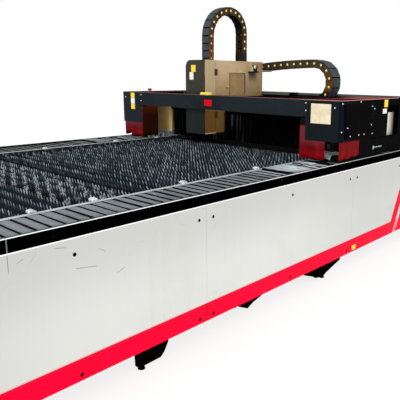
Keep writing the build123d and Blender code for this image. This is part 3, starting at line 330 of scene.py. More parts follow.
PANEL_MARKS = [
    ((-1.607, 0.744), (-1.560, 0.736)),
    ((-1.521, 0.635), (-1.422, 0.620)),
    ((-1.408, 0.695), (-1.379, 0.676)),
    ((-1.763, 0.722), (-1.739, 0.735)),
    ((-1.320, 0.560), (-1.280, 0.574)),
]
coat = Finish("white_paint", (224, 225, 220), 0.42, gloss=0.2)
# Painted shade: the panels are darker towards the top and towards both ends.
coat.cover((197, 198, 193), ("Z", 0.35, 0.78), 0.8)
coat.cover((184, 185, 181), ("X", -1.4, -2.1), 0.35)
coat.cover((184, 185, 181), ("X", 0.1, 1), 0.35)
coat.soil((205, 206, 200), 0.8, 0.4).streak((198, 199, 192), 24, 0.25)
for mark_start, mark_end in PANEL_MARKS:
    coat.cover((150, 150, 142), coat.stroke(mark_start, mark_end))
coat.cover((84, 84, 76), coat.between("X", -1.7985, -1.7965, 0.0006), coat.between("Z", 0.695, 0.780, 0.012))
# Painted highlight: a bright line along the top edge of the panels, under the strip.
coat.cover((255, 255, 253), coat.between("Z", 0.7655, 0.772))
coat.cover((252, 150, 152), ("Z", 0.2325, 0.2255), coat.towards("Y"))
coat.scratch((140, 142, 136), 2.2, 0.003, 0.6).dust((205, 204, 198), 6, 0.5).done(420, 0.05)

coat = Finish("red_paint", (252, 0, 54), 0.4, gloss=0.03).soil((228, 0, 40), 1.6, 0.4)
coat.cover((238, 16, 54), ("Z", 0.2135, 0.2155), ("X", 1.40, 1.38))
coat.scratch((255, 110, 130), 5, 0.003, 0.5).done(420, 0.05)

coat = Finish("strip_black", (1, 1, 2), 0.6, gloss=0)
top = coat.towards("Z")
coat.cover((34, 38, 40), coat.fade(coat.noise(coat.place, 30, 4, 0.7), 0.64, 0.7))
coat.cover((196, 202, 204), coat.between("X", -1.7975, -1.7945)).cover((70, 75, 77), top)
lip = coat.fade(coat.math("ABSOLUTE", coat.axis(coat.place, "Y")), 1.250, 1.256)
coat.cover((244, 247, 248), lip, top).done(300, 0.05)

coat = Finish("guard_steel", (176, 183, 186), 0.5, gloss=0.2)
upright = coat.towards("Y")
# Painted shade: the upright faces of the guards are dark, their tops light.
coat.soil((126, 133, 137), 9, 0.7).cover((27, 34, 38), upright)
sparks = coat.noise(coat.stretched(coat.place, (1, 1, 0.5)), 70)
coat.cover((120, 132, 140), coat.fade(sparks, 0.52, 0.66), upright).done(700, 0.08)

SLAT_HALF_WIDTH = 0.925
SLAT_TEETH = 58
TOOTH = 2 * SLAT_HALF_WIDTH / SLAT_TEETH
SLAT_PITCH = 0.088
SLAT_TOP = 0.800
TOOTH_DEPTH = 0.028
DASH_LEAN = 0.35
DULL_ROWS = {-14: 0.75, -10: 0.75, -8: 0.35}
LANE_SLOPE, LANE_START, LANE_PITCH = 2.2, 2.655, 0.15


def slat_coat():
    """Sooty steel with teeth bright from burns and painted glints, a few rows duller than the rest, and lanes
    of caked spatter.
    """
    coat = Finish("slat_steel", (27, 39, 46), 0.6, metal=0.2, gloss=0.05).soil((19, 25, 29), 9, 0.7)
    x, y, z = (coat.axis(coat.place, name) for name in "XYZ")
    row = coat.math("ROUND", coat.math("DIVIDE", x, SLAT_PITCH))
    dull = 0
    for number, amount in DULL_ROWS.items():
        dull = coat.math("ADD", dull, coat.times(coat.math("COMPARE", row, number), amount))
    coat.cover((7, 10, 12), dull)
    broad = coat.noise(coat.stretched(coat.place, (3, 0.5, 1)), 2.2, 3)
    clean = coat.times(coat.fade(broad, 0.1, 0.5), coat.rest(dull))
    teeth = coat.math("ADD", 0.05, coat.times(("Z", 0.768, 0.788), 0.85))
    across = coat.math("ADD", y, coat.times(coat.math("SUBTRACT", SLAT_TOP, z), DASH_LEAN))
    across = coat.math("DIVIDE", coat.math("ADD", across, SLAT_HALF_WIDTH), TOOTH)
    glint_dash = coat.rest(coat.fade(coat.off_centre(across), 0.08, 0.22))
    share = coat.fade(coat.draw(row, coat.math("FLOOR", across)), -0.35, 1.75)
    # Painted glints, mixed with burnt bright metal: a dash on one flank near the tip of each tooth.
    coat.cover((206, 224, 232), glint_dash, share, clean, teeth)
    spatter = coat.fade(coat.noise(coat.place, 60, 3, 0.7), 0.45, 0.6)
    lane = coat.math("SUBTRACT", coat.math("SUBTRACT", y, coat.times(x, LANE_SLOPE)), LANE_START)
    lane = coat.rest(coat.fade(coat.off_centre(coat.math("DIVIDE", lane, LANE_PITCH)), 0.08, 0.30))
    caked = coat.times(coat.between("X", -1.22, -0.93, 0.02), ("Z", 0.735, 0.765), 0.7)
    coat.cover((214, 224, 230), spatter, lane, caked).done(260, 0.3)


slat_coat()

coat = Finish("cover_fabric", (116, 124, 128), 0.6, gloss=0.1)
coat.cover((128, 137, 141), ("X", -1.2, -0.2))
# Painted light: from just before the gantry on, the cover is much lighter, against the shade under the
# gantry.
coat.cover((204, 213, 218), ("X", -0.1, 0.05))
coat.cover((240, 246, 250), ("X", 0.5, 0.62))
# Painted shade and light: the far cover is darker than the near one towards the front, and lightened near the
# gantry.
far_cover_light_and_shade = coat.mix(coat.along("X", -0.5, 0.2), tint(66, 74, 74), tint(120, 128, 129))
far_cover_light_and_shade = coat.mix(coat.along("X", 0.56, 0.64), far_cover_light_and_shade, tint(206, 216, 216))
coat.cover(far_cover_light_and_shade, ("Y", 0.2, 0.9))
coat.soil((78, 86, 90), 3.4, 0.5).streak((140, 148, 152), 9, 0.4)
plates = coat.noise(coat.stretched(coat.place, (14, 0.5, 0.3)), 1.6, 2)
coat.cover((82, 89, 92), coat.fade(plates, 0.45, 0.65), 0.45)
coat.cover((66, 72, 75), ("Y", -1.16, -1.235), 0.6)
coat.scratch((160, 168, 172), 8, 0.004, 0.4).done(900, 0.15)

# Finishes of the gantry

coat = Finish("cover_red", (70, 14, 20), 0.6, gloss=0)
coat.soil((34, 10, 12), 3, 0.8).dust((120, 60, 62), 5, 0.25)
# Painted shade: the far side of the covers is near black.
coat.cover((30, 16, 15), ("Y", 0.2, 0.9)).soil((96, 34, 32), 9, 0.3)
# Painted highlight: the edges and upright faces are pinkish white on the near side, duller further back.
edge = coat.mix(coat.along("Y", -1, -0.8), tint(222, 158, 150), tint(142, 104, 106))
coat.cover(edge, coat.towards("Z", 0.2, 0.1))
# Painted reflection: a pinkish patch on the tops of the near covers.
painted_reflection = coat.times(("Y", -0.9, -1), coat.between("X", 0.95, 1.38, 0.12))
coat.cover((140, 78, 76), painted_reflection, coat.towards("Z")).done(300, 0.1)

coat = Finish("housing_black", (15, 19, 31), 0.6, gloss=0.01)
front, side, top = (coat.towards(axis, 0.85, 0.97) for axis in "XYZ")
# Painted light and shade: the faces are toned by where they point, the fronts lit to dark slate, the sides
# and tops near black, the front of the near side bluish.
coat.cover((36, 43, 48), front).soil((28, 34, 39), 2.2, 0.7)
coat.cover((25, 30, 33), front, ("Y", -0.93, -0.99)).cover((6, 6, 7), side)
coat.cover((15, 19, 33), side, ("Y", -1.1, -1.2), ("X", 0.86, 0.66))
coat.cover((8, 8, 9), top).scratch((80, 86, 90), 6, 0.003, 0.4).done(700, 0.12)

coat = Finish("trough_black", (6, 6, 7), 0.7, gloss=0.01).soil((16, 12, 12), 3, 0.6)
coat.cover((96, 100, 98), ("Z", 1.246, 1.254)).done(600, 0.1)

coat = Finish("red_rubber", (98, 3, 13), 0.55, gloss=0.05)
coat.cover((138, 2, 15), ("Z", 0.93, 0.87), 0.7)
coat.streak((150, 22, 24), 26, 0.6).soil((76, 1, 6), 6, 0.6)
coat.cover((140, 0, 3), coat.towards("Y"), ("Y", -1.18, -1.20), 0.4)
coat.cover((118, 44, 52), ("Z", 0.91, 0.98), coat.towards("X"), 0.75)
shaded = coat.times(coat.towards("Y"), ("Y", 0.4, 0.6), ("X", 0.555, 0.575))
coat.cover((58, 24, 8), shaded).cover((104, 42, 12), shaded, ("Z", 1.02, 1.13))
# Painted shadow: the top of the near skirts, under the bar, is near black.
skirt_shade = coat.times(("Y", -1.14, -1.13), ("Y", 0, -0.5))
coat.cover((9, 8, 9), ("Z", 1.070, 1.080), skirt_shade).done(300, 0.12)

coat = Finish("curtain_rubber", (2, 2, 2), 0.7, gloss=0.01).soil((6, 6, 6), 5, 0.5)
# Painted highlights: light upright streaks stand for the lit ridges of the pleats.
pleat_highlights = coat.effect(STREAKS, Scale=60, Amount=0.8)
coat.cover((96, 98, 100), pleat_highlights, ("Y", -0.2, 0.2)).done(300, 0.1)

coat = Finish("truck_cream", (228, 222, 206), 0.45, gloss=0.15)
# Painted shade: the trucks darken towards the rear.
coat.soil((196, 186, 160), 4, 0.3).cover((112, 107, 92), ("X", 1.36, 1.46))
# Painted shade: near black in front of X 1.27. Painted light: the far truck is brighter and warmer against
# its shade, and light grey at its foot where bellows plates lie over it.
coat.cover((8, 8, 9), ("X", 1.278, 1.270)).cover((255, 216, 138), ("Y", -0.3, 0.3))
coat.cover((196, 205, 208), ("Y", 0.3, 0.5), ("Z", 0.872, 0.858)).done(650, 0.08)

# Finishes of the head

HEAD_FOOT = (0.923, 0.919)

coat = Finish("beige_paint", (204, 182, 146), 0.4, gloss=0.35)
coat.soil((176, 151, 112), 2.6, 0.55).streak((168, 144, 106), 30, 0.3)
coat.scratch((140, 116, 80), 7, 0.003, 0.5).done(650, 0.08)

coat = Finish("box_beige", (220, 193, 150), 0.4, gloss=0.3)
# Darker towards the bottom and the rear, in part painted shade.
coat.cover((184, 154, 108), ("Z", 1.52, 1.22)).cover((142, 104, 52), ("Z", 1.24, 1.1))
coat.cover((142, 112, 60), ("X", 1.05, 1.45), 0.6)
coat.soil((160, 134, 96), 3, 0.45).streak((150, 126, 88), 34, 0.3)
coat.cover((92, 70, 40), ("X", 0.799, 0.797))
# Painted shadow: a soft dark patch on the box under the chain bracket's shelf.
shelf_shadow = coat.times(("X", 1.225, 1.27), ("X", 1.39, 1.33))
coat.cover((66, 46, 22), shelf_shadow, ("Z", 1.34, 1.45), ("Z", 1.46, 1.455))
# Painted highlight: the lip over the hatch is lighter.
coat.cover((226, 208, 176), ("Y", 0.1835, 0.1825), ("Z", 1.451, 1.453))
coat.cover((112, 58, 26), ("Z", *HEAD_FOOT))
coat.scratch((120, 98, 62), 7, 0.003, 0.5).done(650, 0.08)

coat = Finish("hatch_beige", (181, 149, 100), 0.42, gloss=0.3)
coat.soil((149, 118, 72), 5, 0.6).streak((132, 102, 58), 40, 0.5)
# Painted shadow: dark strips along both upright edges of the door, at its gaps.
rim = coat.math("SUBTRACT", coat.along("X", 0.976, 0.977), coat.along("X", 0.980, 0.983))
coat.cover((78, 58, 32), coat.math("ADD", rim, coat.along("X", 1.177, 1.180)))
coat.cover((236, 218, 182), ("Y", 0.1812, 0.1805), ("X", 0.97, 0.96)).done(650, 0.08)

coat = Finish("head_cover", (58, 58, 50), 0.5, gloss=0.08)
coat.cover((30, 38, 40), ("Z", 1.3, 1.05)).soil((44, 44, 38), 3, 0.6)
cheek = coat.mix(coat.along("Z", 1.1, 1.3), tint(142, 101, 44), tint(208, 184, 146))
cheek = coat.mix(coat.along("Z", *HEAD_FOOT), cheek, tint(222, 200, 168))
coat.cover(cheek, coat.towards("Y", 0.85, 0.95))
coat.scratch((112, 108, 94), 6, 0.003, 0.4).done(650, 0.08)

coat = Finish("bracket_beige", (204, 180, 140), 0.45, gloss=0.1)
roof = ("Z", 1.557, 1.558)
coat.soil((150, 124, 84), 9, 0.5).cover((40, 29, 18), ("X", 1.249, 1.252))
# Painted shade: faces that point up or down are near black, the shelf's underside above all.
coat.cover((14, 11, 8), coat.towards("Z")).cover((70, 51, 32), roof)
# Painted shade: the shelf, below Z 1.467, is near black.
coat.cover((34, 27, 24), roof, ("X", 1.1, 1.2)).cover((10, 8, 6), ("Z", 1.468, 1.467))
coat.cover((44, 36, 29), ("X", 1.44, 1.46), ("Z", 1.51, 1.49)).done(500, 0.08)

# Finishes of the drag chains

coat = Finish("chain_brown", (82, 60, 38), 0.6, gloss=0.05)
cross_run = ("X", 1.38, 1.42)
coat.cover((126, 76, 32), ("X", 0.94, 0.84), ("Z", 1.85, 1.60))
coat.cover((75, 62, 48), cross_run).cover((112, 70, 30), ("Z", 1.50, 1.40), cross_run)
coat.cover((24, 18, 14), ("Z", 1.32, 1.27), cross_run)
coat.soil((44, 31, 20), 9, 0.6).scratch((128, 98, 66), 14).done(500, 0.15)

coat = Finish("chain_lid", (64, 72, 77), 0.5, gloss=0.08)
coat.soil((40, 47, 51), 8, 0.6).scratch((96, 104, 106), 12).done(500, 0.15)

coat = Finish("chain_inside", (14, 13, 13), 0.7, gloss=0.02)
coat.cover((48, 40, 32), coat.between("X", 1.12, 1.36, 0.06), ("Z", 1.90, 1.76))
coat.soil((10, 9, 9), 8, 0.7).done(500, 0.15)

coat = Finish("chain_dot", (255, 240, 160), 0.45, gloss=0.2).soil((252, 214, 96), 30, 0.5)
coat.cover((150, 108, 48), ("X", 0.90, 0.84), ("Z", 1.86, 1.62), 0.8).done(500, 0.1)

# Finishes of the solids: by node, or by slot, where the slot's own name isn't the finish

BY_NODE = {
    "top_covers": "cover_red",
    "edge_strips": "strip_black",
    "front_bar": "housing_black",
    "near_housing": "housing_black",
    "far_housing": "housing_black",
    "foot_brackets": "foot_black",
    "levelling_feet": "foot_black",
    "head_box": "box_beige",
    "hatch_door": "hatch_beige",
    "head_front_cover": "head_cover",
    "inner_guards": "guard_steel",
    "chain_brackets": "bracket_beige",
    "trucks": "truck_cream",
    "rear_deck": "soot_black",
    "chain_trough": "trough_black",
    "cross_rails": "worn_steel",
}
BY_SLOT = {
    "black_paint": "deep_black",
    "grey_paint": "frame_grey",
    "black_rubber": "curtain_rubber",
    "chain_plastic": "chain_brown",
}
for part in frame["record"]["subparts"]:
    slot = part["material_slot"]
    finish = BY_NODE.get(part["node"], BY_SLOT.get(slot, slot))
    solid = nodes[part["node"]]
    solid.data.materials.clear()
    solid.data.materials.append(FINISHES[finish])

# Shapes that the pieces are made from


def round_edges(bm, edges, offset, segments):
    shape = {"offset": offset, "segments": segments, "profile": 0.5}
    bmesh.ops.bevel(bm, geom=edges, affect="EDGES", material=-1, **shape)


def aimed(facing):
    """The turn that points a shape's Z in a direction."""
    return Vector(facing).to_track_quat("Z", "Y").to_matrix().to_4x4()


def added(bm, old):
    return [vert for vert in bm.verts if vert not in old]


def faces_of(verts):
    return {face for vert in verts for face in vert.link_faces}


def turn_outwards(bm):
    bmesh.ops.recalc_face_normals(bm, faces=bm.faces)


def block(bm, size, middle):
    made = bmesh.ops.create_cube(bm, size=1)["verts"]
    bmesh.ops.scale(bm, vec=size, verts=made)
    bmesh.ops.translate(bm, vec=middle, verts=made)
    return made


def slab(bm, low, high, edge=0.001, segments=2, finish=0):
    """A block between two corners with rounded edges."""
    low, high = Vector(low), Vector(high)
    made = block(bm, high - low, (low + high) / 2)
    for face in faces_of(made):
        face.material_index = finish
    round_edges(bm, list({side for vert in made for side in vert.link_edges}), edge, segments)


def turned(bm, profile, place, facing, steps, finish=0):
    """A piece turned about a line, from radius and height pairs."""
    line = [bm.verts.new((radius, 0, height)) for radius, height in profile]
    rim = [bm.edges.new(pair) for pair in zip(line, line[1:])]
    old = set(bm.verts) - set(line)
    circle = {"cent": (0, 0, 0), "axis": (0, 0, 1), "angle": 2 * math.pi, "steps": steps}
    bmesh.ops.spin(bm, geom=line + rim, use_merge=True, **circle)
    made = added(bm, old)
    bmesh.ops.remove_doubles(bm, verts=made, dist=1e-6)
    made = added(bm, old)
    faces = list(faces_of(made))
    for face in faces:
        face.material_index = finish
        face.smooth = True
    bmesh.ops.recalc_face_normals(bm, faces=faces)
    bmesh.ops.transform(bm, matrix=Matrix.Translation(place) @ aimed(facing), verts=made)


def screw(bm, place, facing, radius, stand=0.005):
    """A button screw with a round, sunk socket."""
    taper = {"radius1": radius, "radius2": 0.7 * radius, "depth": stand}
    head = bmesh.ops.create_cone(bm, cap_ends=True, segments=12, **taper)["verts"]
    faces = faces_of(head)
    top = max(faces, key=lambda face: face.calc_center_median().z)
    ring = bmesh.ops.inset_region(bm, faces=[top], thickness=0.3 * radius)["faces"]
    bmesh.ops.translate(bm, vec=(0, 0, -0.3 * stand), verts=top.verts)
    made = list({vert for face in faces | set(ring) for vert in face.verts} | set(head))
    lift = Vector(facing).normalized() * 0.5 * stand
    bmesh.ops.transform(bm, matrix=Matrix.Translation(Vector(place) + lift) @ aimed(facing), verts=made)


def mirrored(bm):
    """Adds the far side's twin of everything made so far."""
    twin = bmesh.ops.duplicate(bm, geom=bm.verts[:] + bm.edges[:] + bm.faces[:])["geom"]
    bmesh.ops.scale(bm, vec=(1, -1, 1), verts=[part for part in twin if isinstance(part, bmesh.types.BMVert)])
    bmesh.ops.reverse_faces(bm, faces=[part for part in twin if isinstance(part, bmesh.types.BMFace)])


def placed(name, data):
    made = bpy.data.objects.new(name, data)
    scene.collection.objects.link(made)
    return made


def formed(name, bm, finishes):
    """An object of a shape, with its finishes."""
    mesh = bpy.data.meshes.new(name)
    bm.to_mesh(mesh)
    bm.free()
    for finish in finishes:
        mesh.materials.append(FINISHES[finish])
    return placed(name, mesh)


def piece(name, bm, finishes, body=None, stands_for=()):
    """Forms a piece and hands it to a body."""
    made = formed(name, bm, finishes)
    if stands_for:
        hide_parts(*stands_for)
    if body:
        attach(made, body)
    return made


def add_wall(made, thickness, offset):
    """Gives a sheet its thickness, to both sides of its shape at 0 and inwards at -1."""
    wall = made.modifiers.new("sheet", "SOLIDIFY")
    wall.thickness = thickness
    wall.offset = offset


# Cutting bed: slats with teeth, burnt unevenly

SLAT_COUNT = 36
FIRST_SLAT_X = -2.1685
SLAT_BOTTOM = 0.690
SLAT_SHEET = 0.0025
SLAT_LEAN, TOOTH_SWAY = 0.002, 0.0015
TOOTH_BURN = 0.010
TOOTH_FOOT = SLAT_TOP - 1.4 * TOOTH_DEPTH


def make_slats():
    bm = bmesh.new()
    upright = Matrix(((0, 0, 1, 0), (1, 0, 0, 0), (0, 1, 0, 0), (0, 0, 0, 1)))
    for row in range(SLAT_COUNT):
        grid = bmesh.ops.create_grid(bm, x_segments=2 * SLAT_TEETH, y_segments=2, size=0.5)["verts"]
        lean = chance.uniform(-SLAT_LEAN, SLAT_LEAN)
        for vert in grid:
            across, up = vert.co.x, vert.co.y
            column = round((across + 0.5) * 2 * SLAT_TEETH)
            height, sway = SLAT_BOTTOM if up < -0.25 else TOOTH_FOOT, lean
            if up > 0.25:
                burnt = chance.random() ** 4 * TOOTH_BURN
                height = SLAT_TOP - (burnt if column % 2 else TOOTH_DEPTH)
                sway += chance.uniform(-TOOTH_SWAY, TOOTH_SWAY)
            vert.co = (across * 2 * SLAT_HALF_WIDTH, height, sway)
        bmesh.ops.transform(bm, matrix=upright, verts=grid)
        bmesh.ops.translate(bm, vec=(FIRST_SLAT_X + row * SLAT_PITCH, 0, 0), verts=grid)
    slats = piece("slat_rows", bm, ["slat_steel"], "bed", ["slats"])
    add_wall(slats, SLAT_SHEET, 0)


# Pleated covers of the long rails

COVER_Y = (-1.234, -0.971)
COVER_EDGE_Z, FOLD_FLOOR_Z = 0.782, 0.806
COVER_ENDS = {"front": (-2.228, 0.868), "rear": (2.228, 1.512)}
COVER_COLUMNS = 8
COVER_SKIN = 0.0012
LIFTED_FROM, BUNCHED_FROM, RAISED_FROM = 0.0, 0.12, 0.610
SHORTEST_FOLD = 0.02
FOLD_LIP, SIDE_LIP = 0.001, 0.003
SKIRT_SHADE_WIDTH = 0.10
# Pitch, its spread, groove, heights at the front and at the rear edge, crumple
FLAT_FOLD = (0.065, 0.03, 0.005, (0.816, 0.819), (0.811, 0.813), 0.0008)
BUNCHED_FOLD = (0.048, 0.22, 0.014, (0.818, 0.826), (0.816, 0.825), 0.003)
LIFTED_FOLD = (0.165, 0.22, 0.008, (0.828, 0.830), (0.823, 0.825), 0.002)
RAISED_FOLD = (0.060, 0.22, 0.018, (0.832, 0.852), (0.848, 0.876), 0.010)


def folds(place):
    """The plates of a cover from its lower X end: front, rear, their heights and how crumpled they are."""
    low, high = sorted(COVER_ENDS[place])
    plates = []
    x = low
    while x < high - SHORTEST_FOLD:
        kind = BUNCHED_FOLD
        if place == "front" and x < BUNCHED_FROM:
            kind = FLAT_FOLD if x < LIFTED_FROM else LIFTED_FOLD
        elif place == "front" and x > RAISED_FROM:
            kind = RAISED_FOLD
        pitch, spread, groove, front, rear, crumple = kind
        end = min(high, x + pitch * chance.uniform(1 - spread, 1 + spread))
        plates.append((x, end - groove, chance.uniform(*front), chance.uniform(*rear), crumple))
        x = end
    return plates


def make_rail_cover(side, place):
    """Overlapping plates with dark grooves between them and a drop along both sides."""
    plates = folds(place)
    rows = 4 * len(plates) - 1
    bm = bmesh.new()
    grid = bmesh.ops.create_grid(bm, x_segments=rows, y_segments=COVER_COLUMNS, size=0.5)["verts"]
    near, far = COVER_Y
    on_row = {}
    for vert in grid:
        row = round((vert.co.x + 0.5) * rows)
        column = round((vert.co.y + 0.5) * COVER_COLUMNS)
        plate, corner = divmod(row, 4)
        start, end, front, rear, crumple = plates[plate]
        x = (start, start + FOLD_LIP, end - FOLD_LIP, end)[corner]
        z = (FOLD_FLOOR_Z, front, rear, FOLD_FLOOR_Z)[corner]
        if corner in (1, 2):
            z += chance.uniform(-crumple, crumple)
            x += chance.uniform(-crumple, crumple) / 2
        y = near + (far - near) * column / COVER_COLUMNS
        if column in (0, COVER_COLUMNS):
            z = COVER_EDGE_Z
        elif column in (1, COVER_COLUMNS - 1):
            y = near + SIDE_LIP if column == 1 else far - SIDE_LIP
        on_row[vert] = row
        vert.co = (x, y, z)
    for face in bm.faces:
        lowest = min(on_row[vert] for vert in face.verts)
        middle = face.calc_center_median()
        # Painted shade: raised plates along the outer edge, under the skirts, take the dark groove finish.
        skirt_shade = middle.x > RAISED_FROM and middle.y < near + SKIRT_SHADE_WIDTH
        face.material_index = 0 if lowest % 4 == 1 and not skirt_shade else 1
    if side == "far":
        bmesh.ops.scale(bm, vec=(1, -1, 1), verts=grid)
    turn_outwards(bm)
    if sum(face.normal.z for face in bm.faces) < 0:
        bmesh.ops.reverse_faces(bm, faces=bm.faces)
    bmesh.ops.solidify(bm, geom=bm.faces[:], thickness=COVER_SKIN)
    node = side + "_" + place + "_bellows"
    cover = piece(node + "_plates", bm, ["cover_fabric", "fold_shadow"], None, [node])
    if place == "front":
        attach(cover, "bed")
        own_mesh(cover)
    else:
        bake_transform(cover)


# Drag chains

CROSS_LINK = (0.0755, 0.072, 0.140)
CROSS_X, CROSS_Z, LOOP_Y = 1.540, 1.541, -0.404
RUN_SAG = 0.030
LOOP_LINKS, UPPER_LINKS, LOWER_LINKS = 7, 8, 8
ARCH_LINK = (0.064, 0.066, 0.088)
ARCH_X, ARCH_Z, ARCH_Y = 1.034, 1.767, 0.295
ARCH_LEAN = 0.040
ARCH_LINKS, ARCH_FRONT_LINKS, ARCH_REAR_LINKS = 11, 4, 3
LINK_PLATE = 0.006
LINK_OVERLAP = 0.022
LINK_ROUND = 0.021
LID = 0.003
LID_GAP = 0.010
LID_INSET, FLOOR_INSET = 0.0005, 0.0105
LID_EDGE, FLOOR_EDGE = 0.0008, 0.0005
RIVET_CAP = [(0.0, 0.0014), (0.0075, 0.0014), (0.0105, 0.0)]
HAIR = 0.0002
CHAIN_FINISHES = ["chain_brown", "chain_lid", "chain_dot", "chain_inside"]
LID_FINISH, DOT_FINISH, INSIDE_FINISH = 1, 2, 3


def add_link(bm, size, outside, place, bend):
    """One link: two round-ended plates, a lid on each side and, on an outer link, its rivet caps."""
    pitch, height, width = size
    old = set(bm.verts)
    face = width / 2 - (0 if outside else LINK_PLATE)
    end, high = pitch / 2 + LINK_OVERLAP - 5 * HAIR, height / 2 - LID
    for across in (-face, face - LINK_PLATE):
        made = block(bm, (2 * end, 2 * high, LINK_PLATE - 2 * HAIR), (0, 0, across + LINK_PLATE / 2))
        edges = {edge for vert in made for edge in vert.link_edges}
        upright = [edge for edge in edges if abs(edge.verts[0].co.z - edge.verts[1].co.z) > LINK_PLATE / 2]
        round_edges(bm, upright, LINK_ROUND, 4)
    for rim in faces_of(added(bm, old)):
        rim.normal_update()
        if abs(rim.normal.z) < 0.5:
            rim.material_index = INSIDE_FINISH
    half = width / 2 - LID_INSET
    shorter = height / 2 * math.sin(bend)
    outer = (height / 2 - LID, pitch + shorter, LID_FINISH)
    inner = (-height / 2, pitch - shorter, INSIDE_FINISH)
    for v, length, finish in (outer, inner):
        reach = length / 2 - LID_GAP / 2
        slab(bm, (-reach, v, -half), (reach, v + LID, half), LID_EDGE, 1, finish)
    floor, half = height / 2 - 3 * LID, width / 2 - FLOOR_INSET
    slab(bm, (-pitch / 2, floor - LID, -half), (pitch / 2, floor, half), FLOOR_EDGE, 1, INSIDE_FINISH)
    if outside:
        for u in (-pitch / 2, pitch / 2):
            for way in (-1, 1):
                turned(bm, RIVET_CAP, (u, 0, way * (width / 2 - HAIR)), (0, 0, way), 10, DOT_FINISH)
    made = added(bm, old)
    bmesh.ops.transform(bm, matrix=place, verts=made)


def add_chain(bm, pins, first, size, across, outwards):
    """Links between pin points; outwards turns a link's heading to its outer side."""
    pins = [Vector(pin) for pin in pins]
    for index, (start, end) in enumerate(zip(pins, pins[1:])):
        heading = (end - start).normalized()
        up = outwards @ heading
        place = Matrix((heading, up, across)).transposed().to_4x4()
        place.translation = (start + end) / 2
        ahead = pins[min(index + 2, len(pins) - 1)] - end
        before = start - pins[max(index - 1, 0)]
        turns = [heading.angle(other) for other in (before, ahead) if other.length > 0]
        add_link(bm, size, (index + first) % 2 == 0, place, min(turns))
    turn_outwards(bm)


def arc(radius, count, start, sweep):
    """Points round an arc, both ends included."""
    angles = [start + sweep * i / count for i in range(count + 1)]
    return [(radius * math.cos(angle), radius * math.sin(angle)) for angle in angles]


def make_cross_chain():
    pitch = CROSS_LINK[0]
    radius = pitch / (2 * math.sin(math.pi / (2 * LOOP_LINKS)))
    across, outwards = Vector((1, 0, 0)), Matrix.Rotation(-math.pi / 2, 3, "X")
    upper = []
    for i in range(UPPER_LINKS, -1, -1):
        upper.append((CROSS_X, LOOP_Y + pitch * i, CROSS_Z - RUN_SAG * (i / UPPER_LINKS) ** 2))
    bm = bmesh.new()
    add_chain(bm, upper, 0, CROSS_LINK, across, outwards)
    run = piece("cross_chain_run_links", bm, CHAIN_FINISHES, None, ["cross_chain_run"])
    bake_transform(run)
    bend = arc(radius, LOOP_LINKS, math.pi / 2, math.pi)
    loop = [(CROSS_X, LOOP_Y + y, CROSS_Z - radius + z) for y, z in bend]
    loop += [(CROSS_X, LOOP_Y + pitch * i, CROSS_Z - 2 * radius) for i in range(1, LOWER_LINKS + 1)]
    bm = bmesh.new()
    add_chain(bm, loop, UPPER_LINKS, CROSS_LINK, across, outwards)
    piece("cross_chain_loop_links", bm, CHAIN_FINISHES, "chain_loop", ["cross_chain_loop"])


def make_arch_chain():
    pitch = ARCH_LINK[0]
    radius = pitch / (2 * math.sin(math.pi / (2 * ARCH_LINKS)))
    front, rear = ARCH_X - radius, ARCH_X + radius
    pins = [(front, ARCH_Y, ARCH_Z - pitch * i) for i in range(ARCH_FRONT_LINKS, 0, -1)]
    pins += [(ARCH_X + x, ARCH_Y, ARCH_Z + z) for x, z in arc(radius, ARCH_LINKS, math.pi, -math.pi)]
    pins += [(rear, ARCH_Y, ARCH_Z - pitch * i) for i in range(1, ARCH_REAR_LINKS + 1)]
    pins = [(x, y, z + ARCH_LEAN * ((x - front) / (rear - front)) ** 2) for x, y, z in pins]
    bm = bmesh.new()
    add_chain(bm, pins, 0, ARCH_LINK, Vector((0, 1, 0)), Matrix.Rotation(-math.pi / 2, 3, "Y"))
    arch = piece("arch_chain_links", bm, CHAIN_FINISHES, None, ["arch_chain"])
    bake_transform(arch)


# Red skirts round the housings' feet

SKIRT_FRONT_X, SKIRT_REAR_X = 0.567, 0.780
SKIRT_INNER_Y, SKIRT_OUTER_Y = -0.907, -1.125
SKIRT_Z = (0.834, 1.141)
FAR_SKIRT_REAR_X = 0.755
FAR_SKIRT_Y = (0.953, 1.119, 1.226)
FAR_SKIRT_BOTTOM, FAR_SKIRT_STEP = 0.841, 0.865
SIDE_SKIRT_X, SIDE_SKIRT_Y, SIDE_SKIRT_Z = (0.575, 0.593, 0.862), -1.239, (0.838, 0.970, 1.010)
SKIRT_SHEET = 0.003
SKIRT_HOLD = 6
HEM_WAVE = 0.004


def hang(bm, start, end, heights, waves, sway, rise=0.0):
    """A hanging sheet between two points in plan, wavier towards its lower edge."""
    grid = bmesh.ops.create_grid(bm, x_segments=24, y_segments=10, size=0.5)["verts"]
    start, run = Vector(start), Vector(end) - Vector(start)
    aside = Vector((run.y, -run.x)).normalized()
    low, high = heights
    for vert in grid:
        along, down = vert.co.x + 0.5, 0.5 - vert.co.y
        held = min(1.0, SKIRT_HOLD * along, SKIRT_HOLD * (1.0 - along))
        swing = sway * held * down**1.6 * math.sin(2 * math.pi * waves * along + 2.0 * down)
        spot = start + run * along + aside * swing
        drop = (high - low - rise * along) * down
        drop -= HEM_WAVE * down * math.sin(math.pi * waves * along) ** 2
        vert.co = (spot.x, spot.y, high - drop)


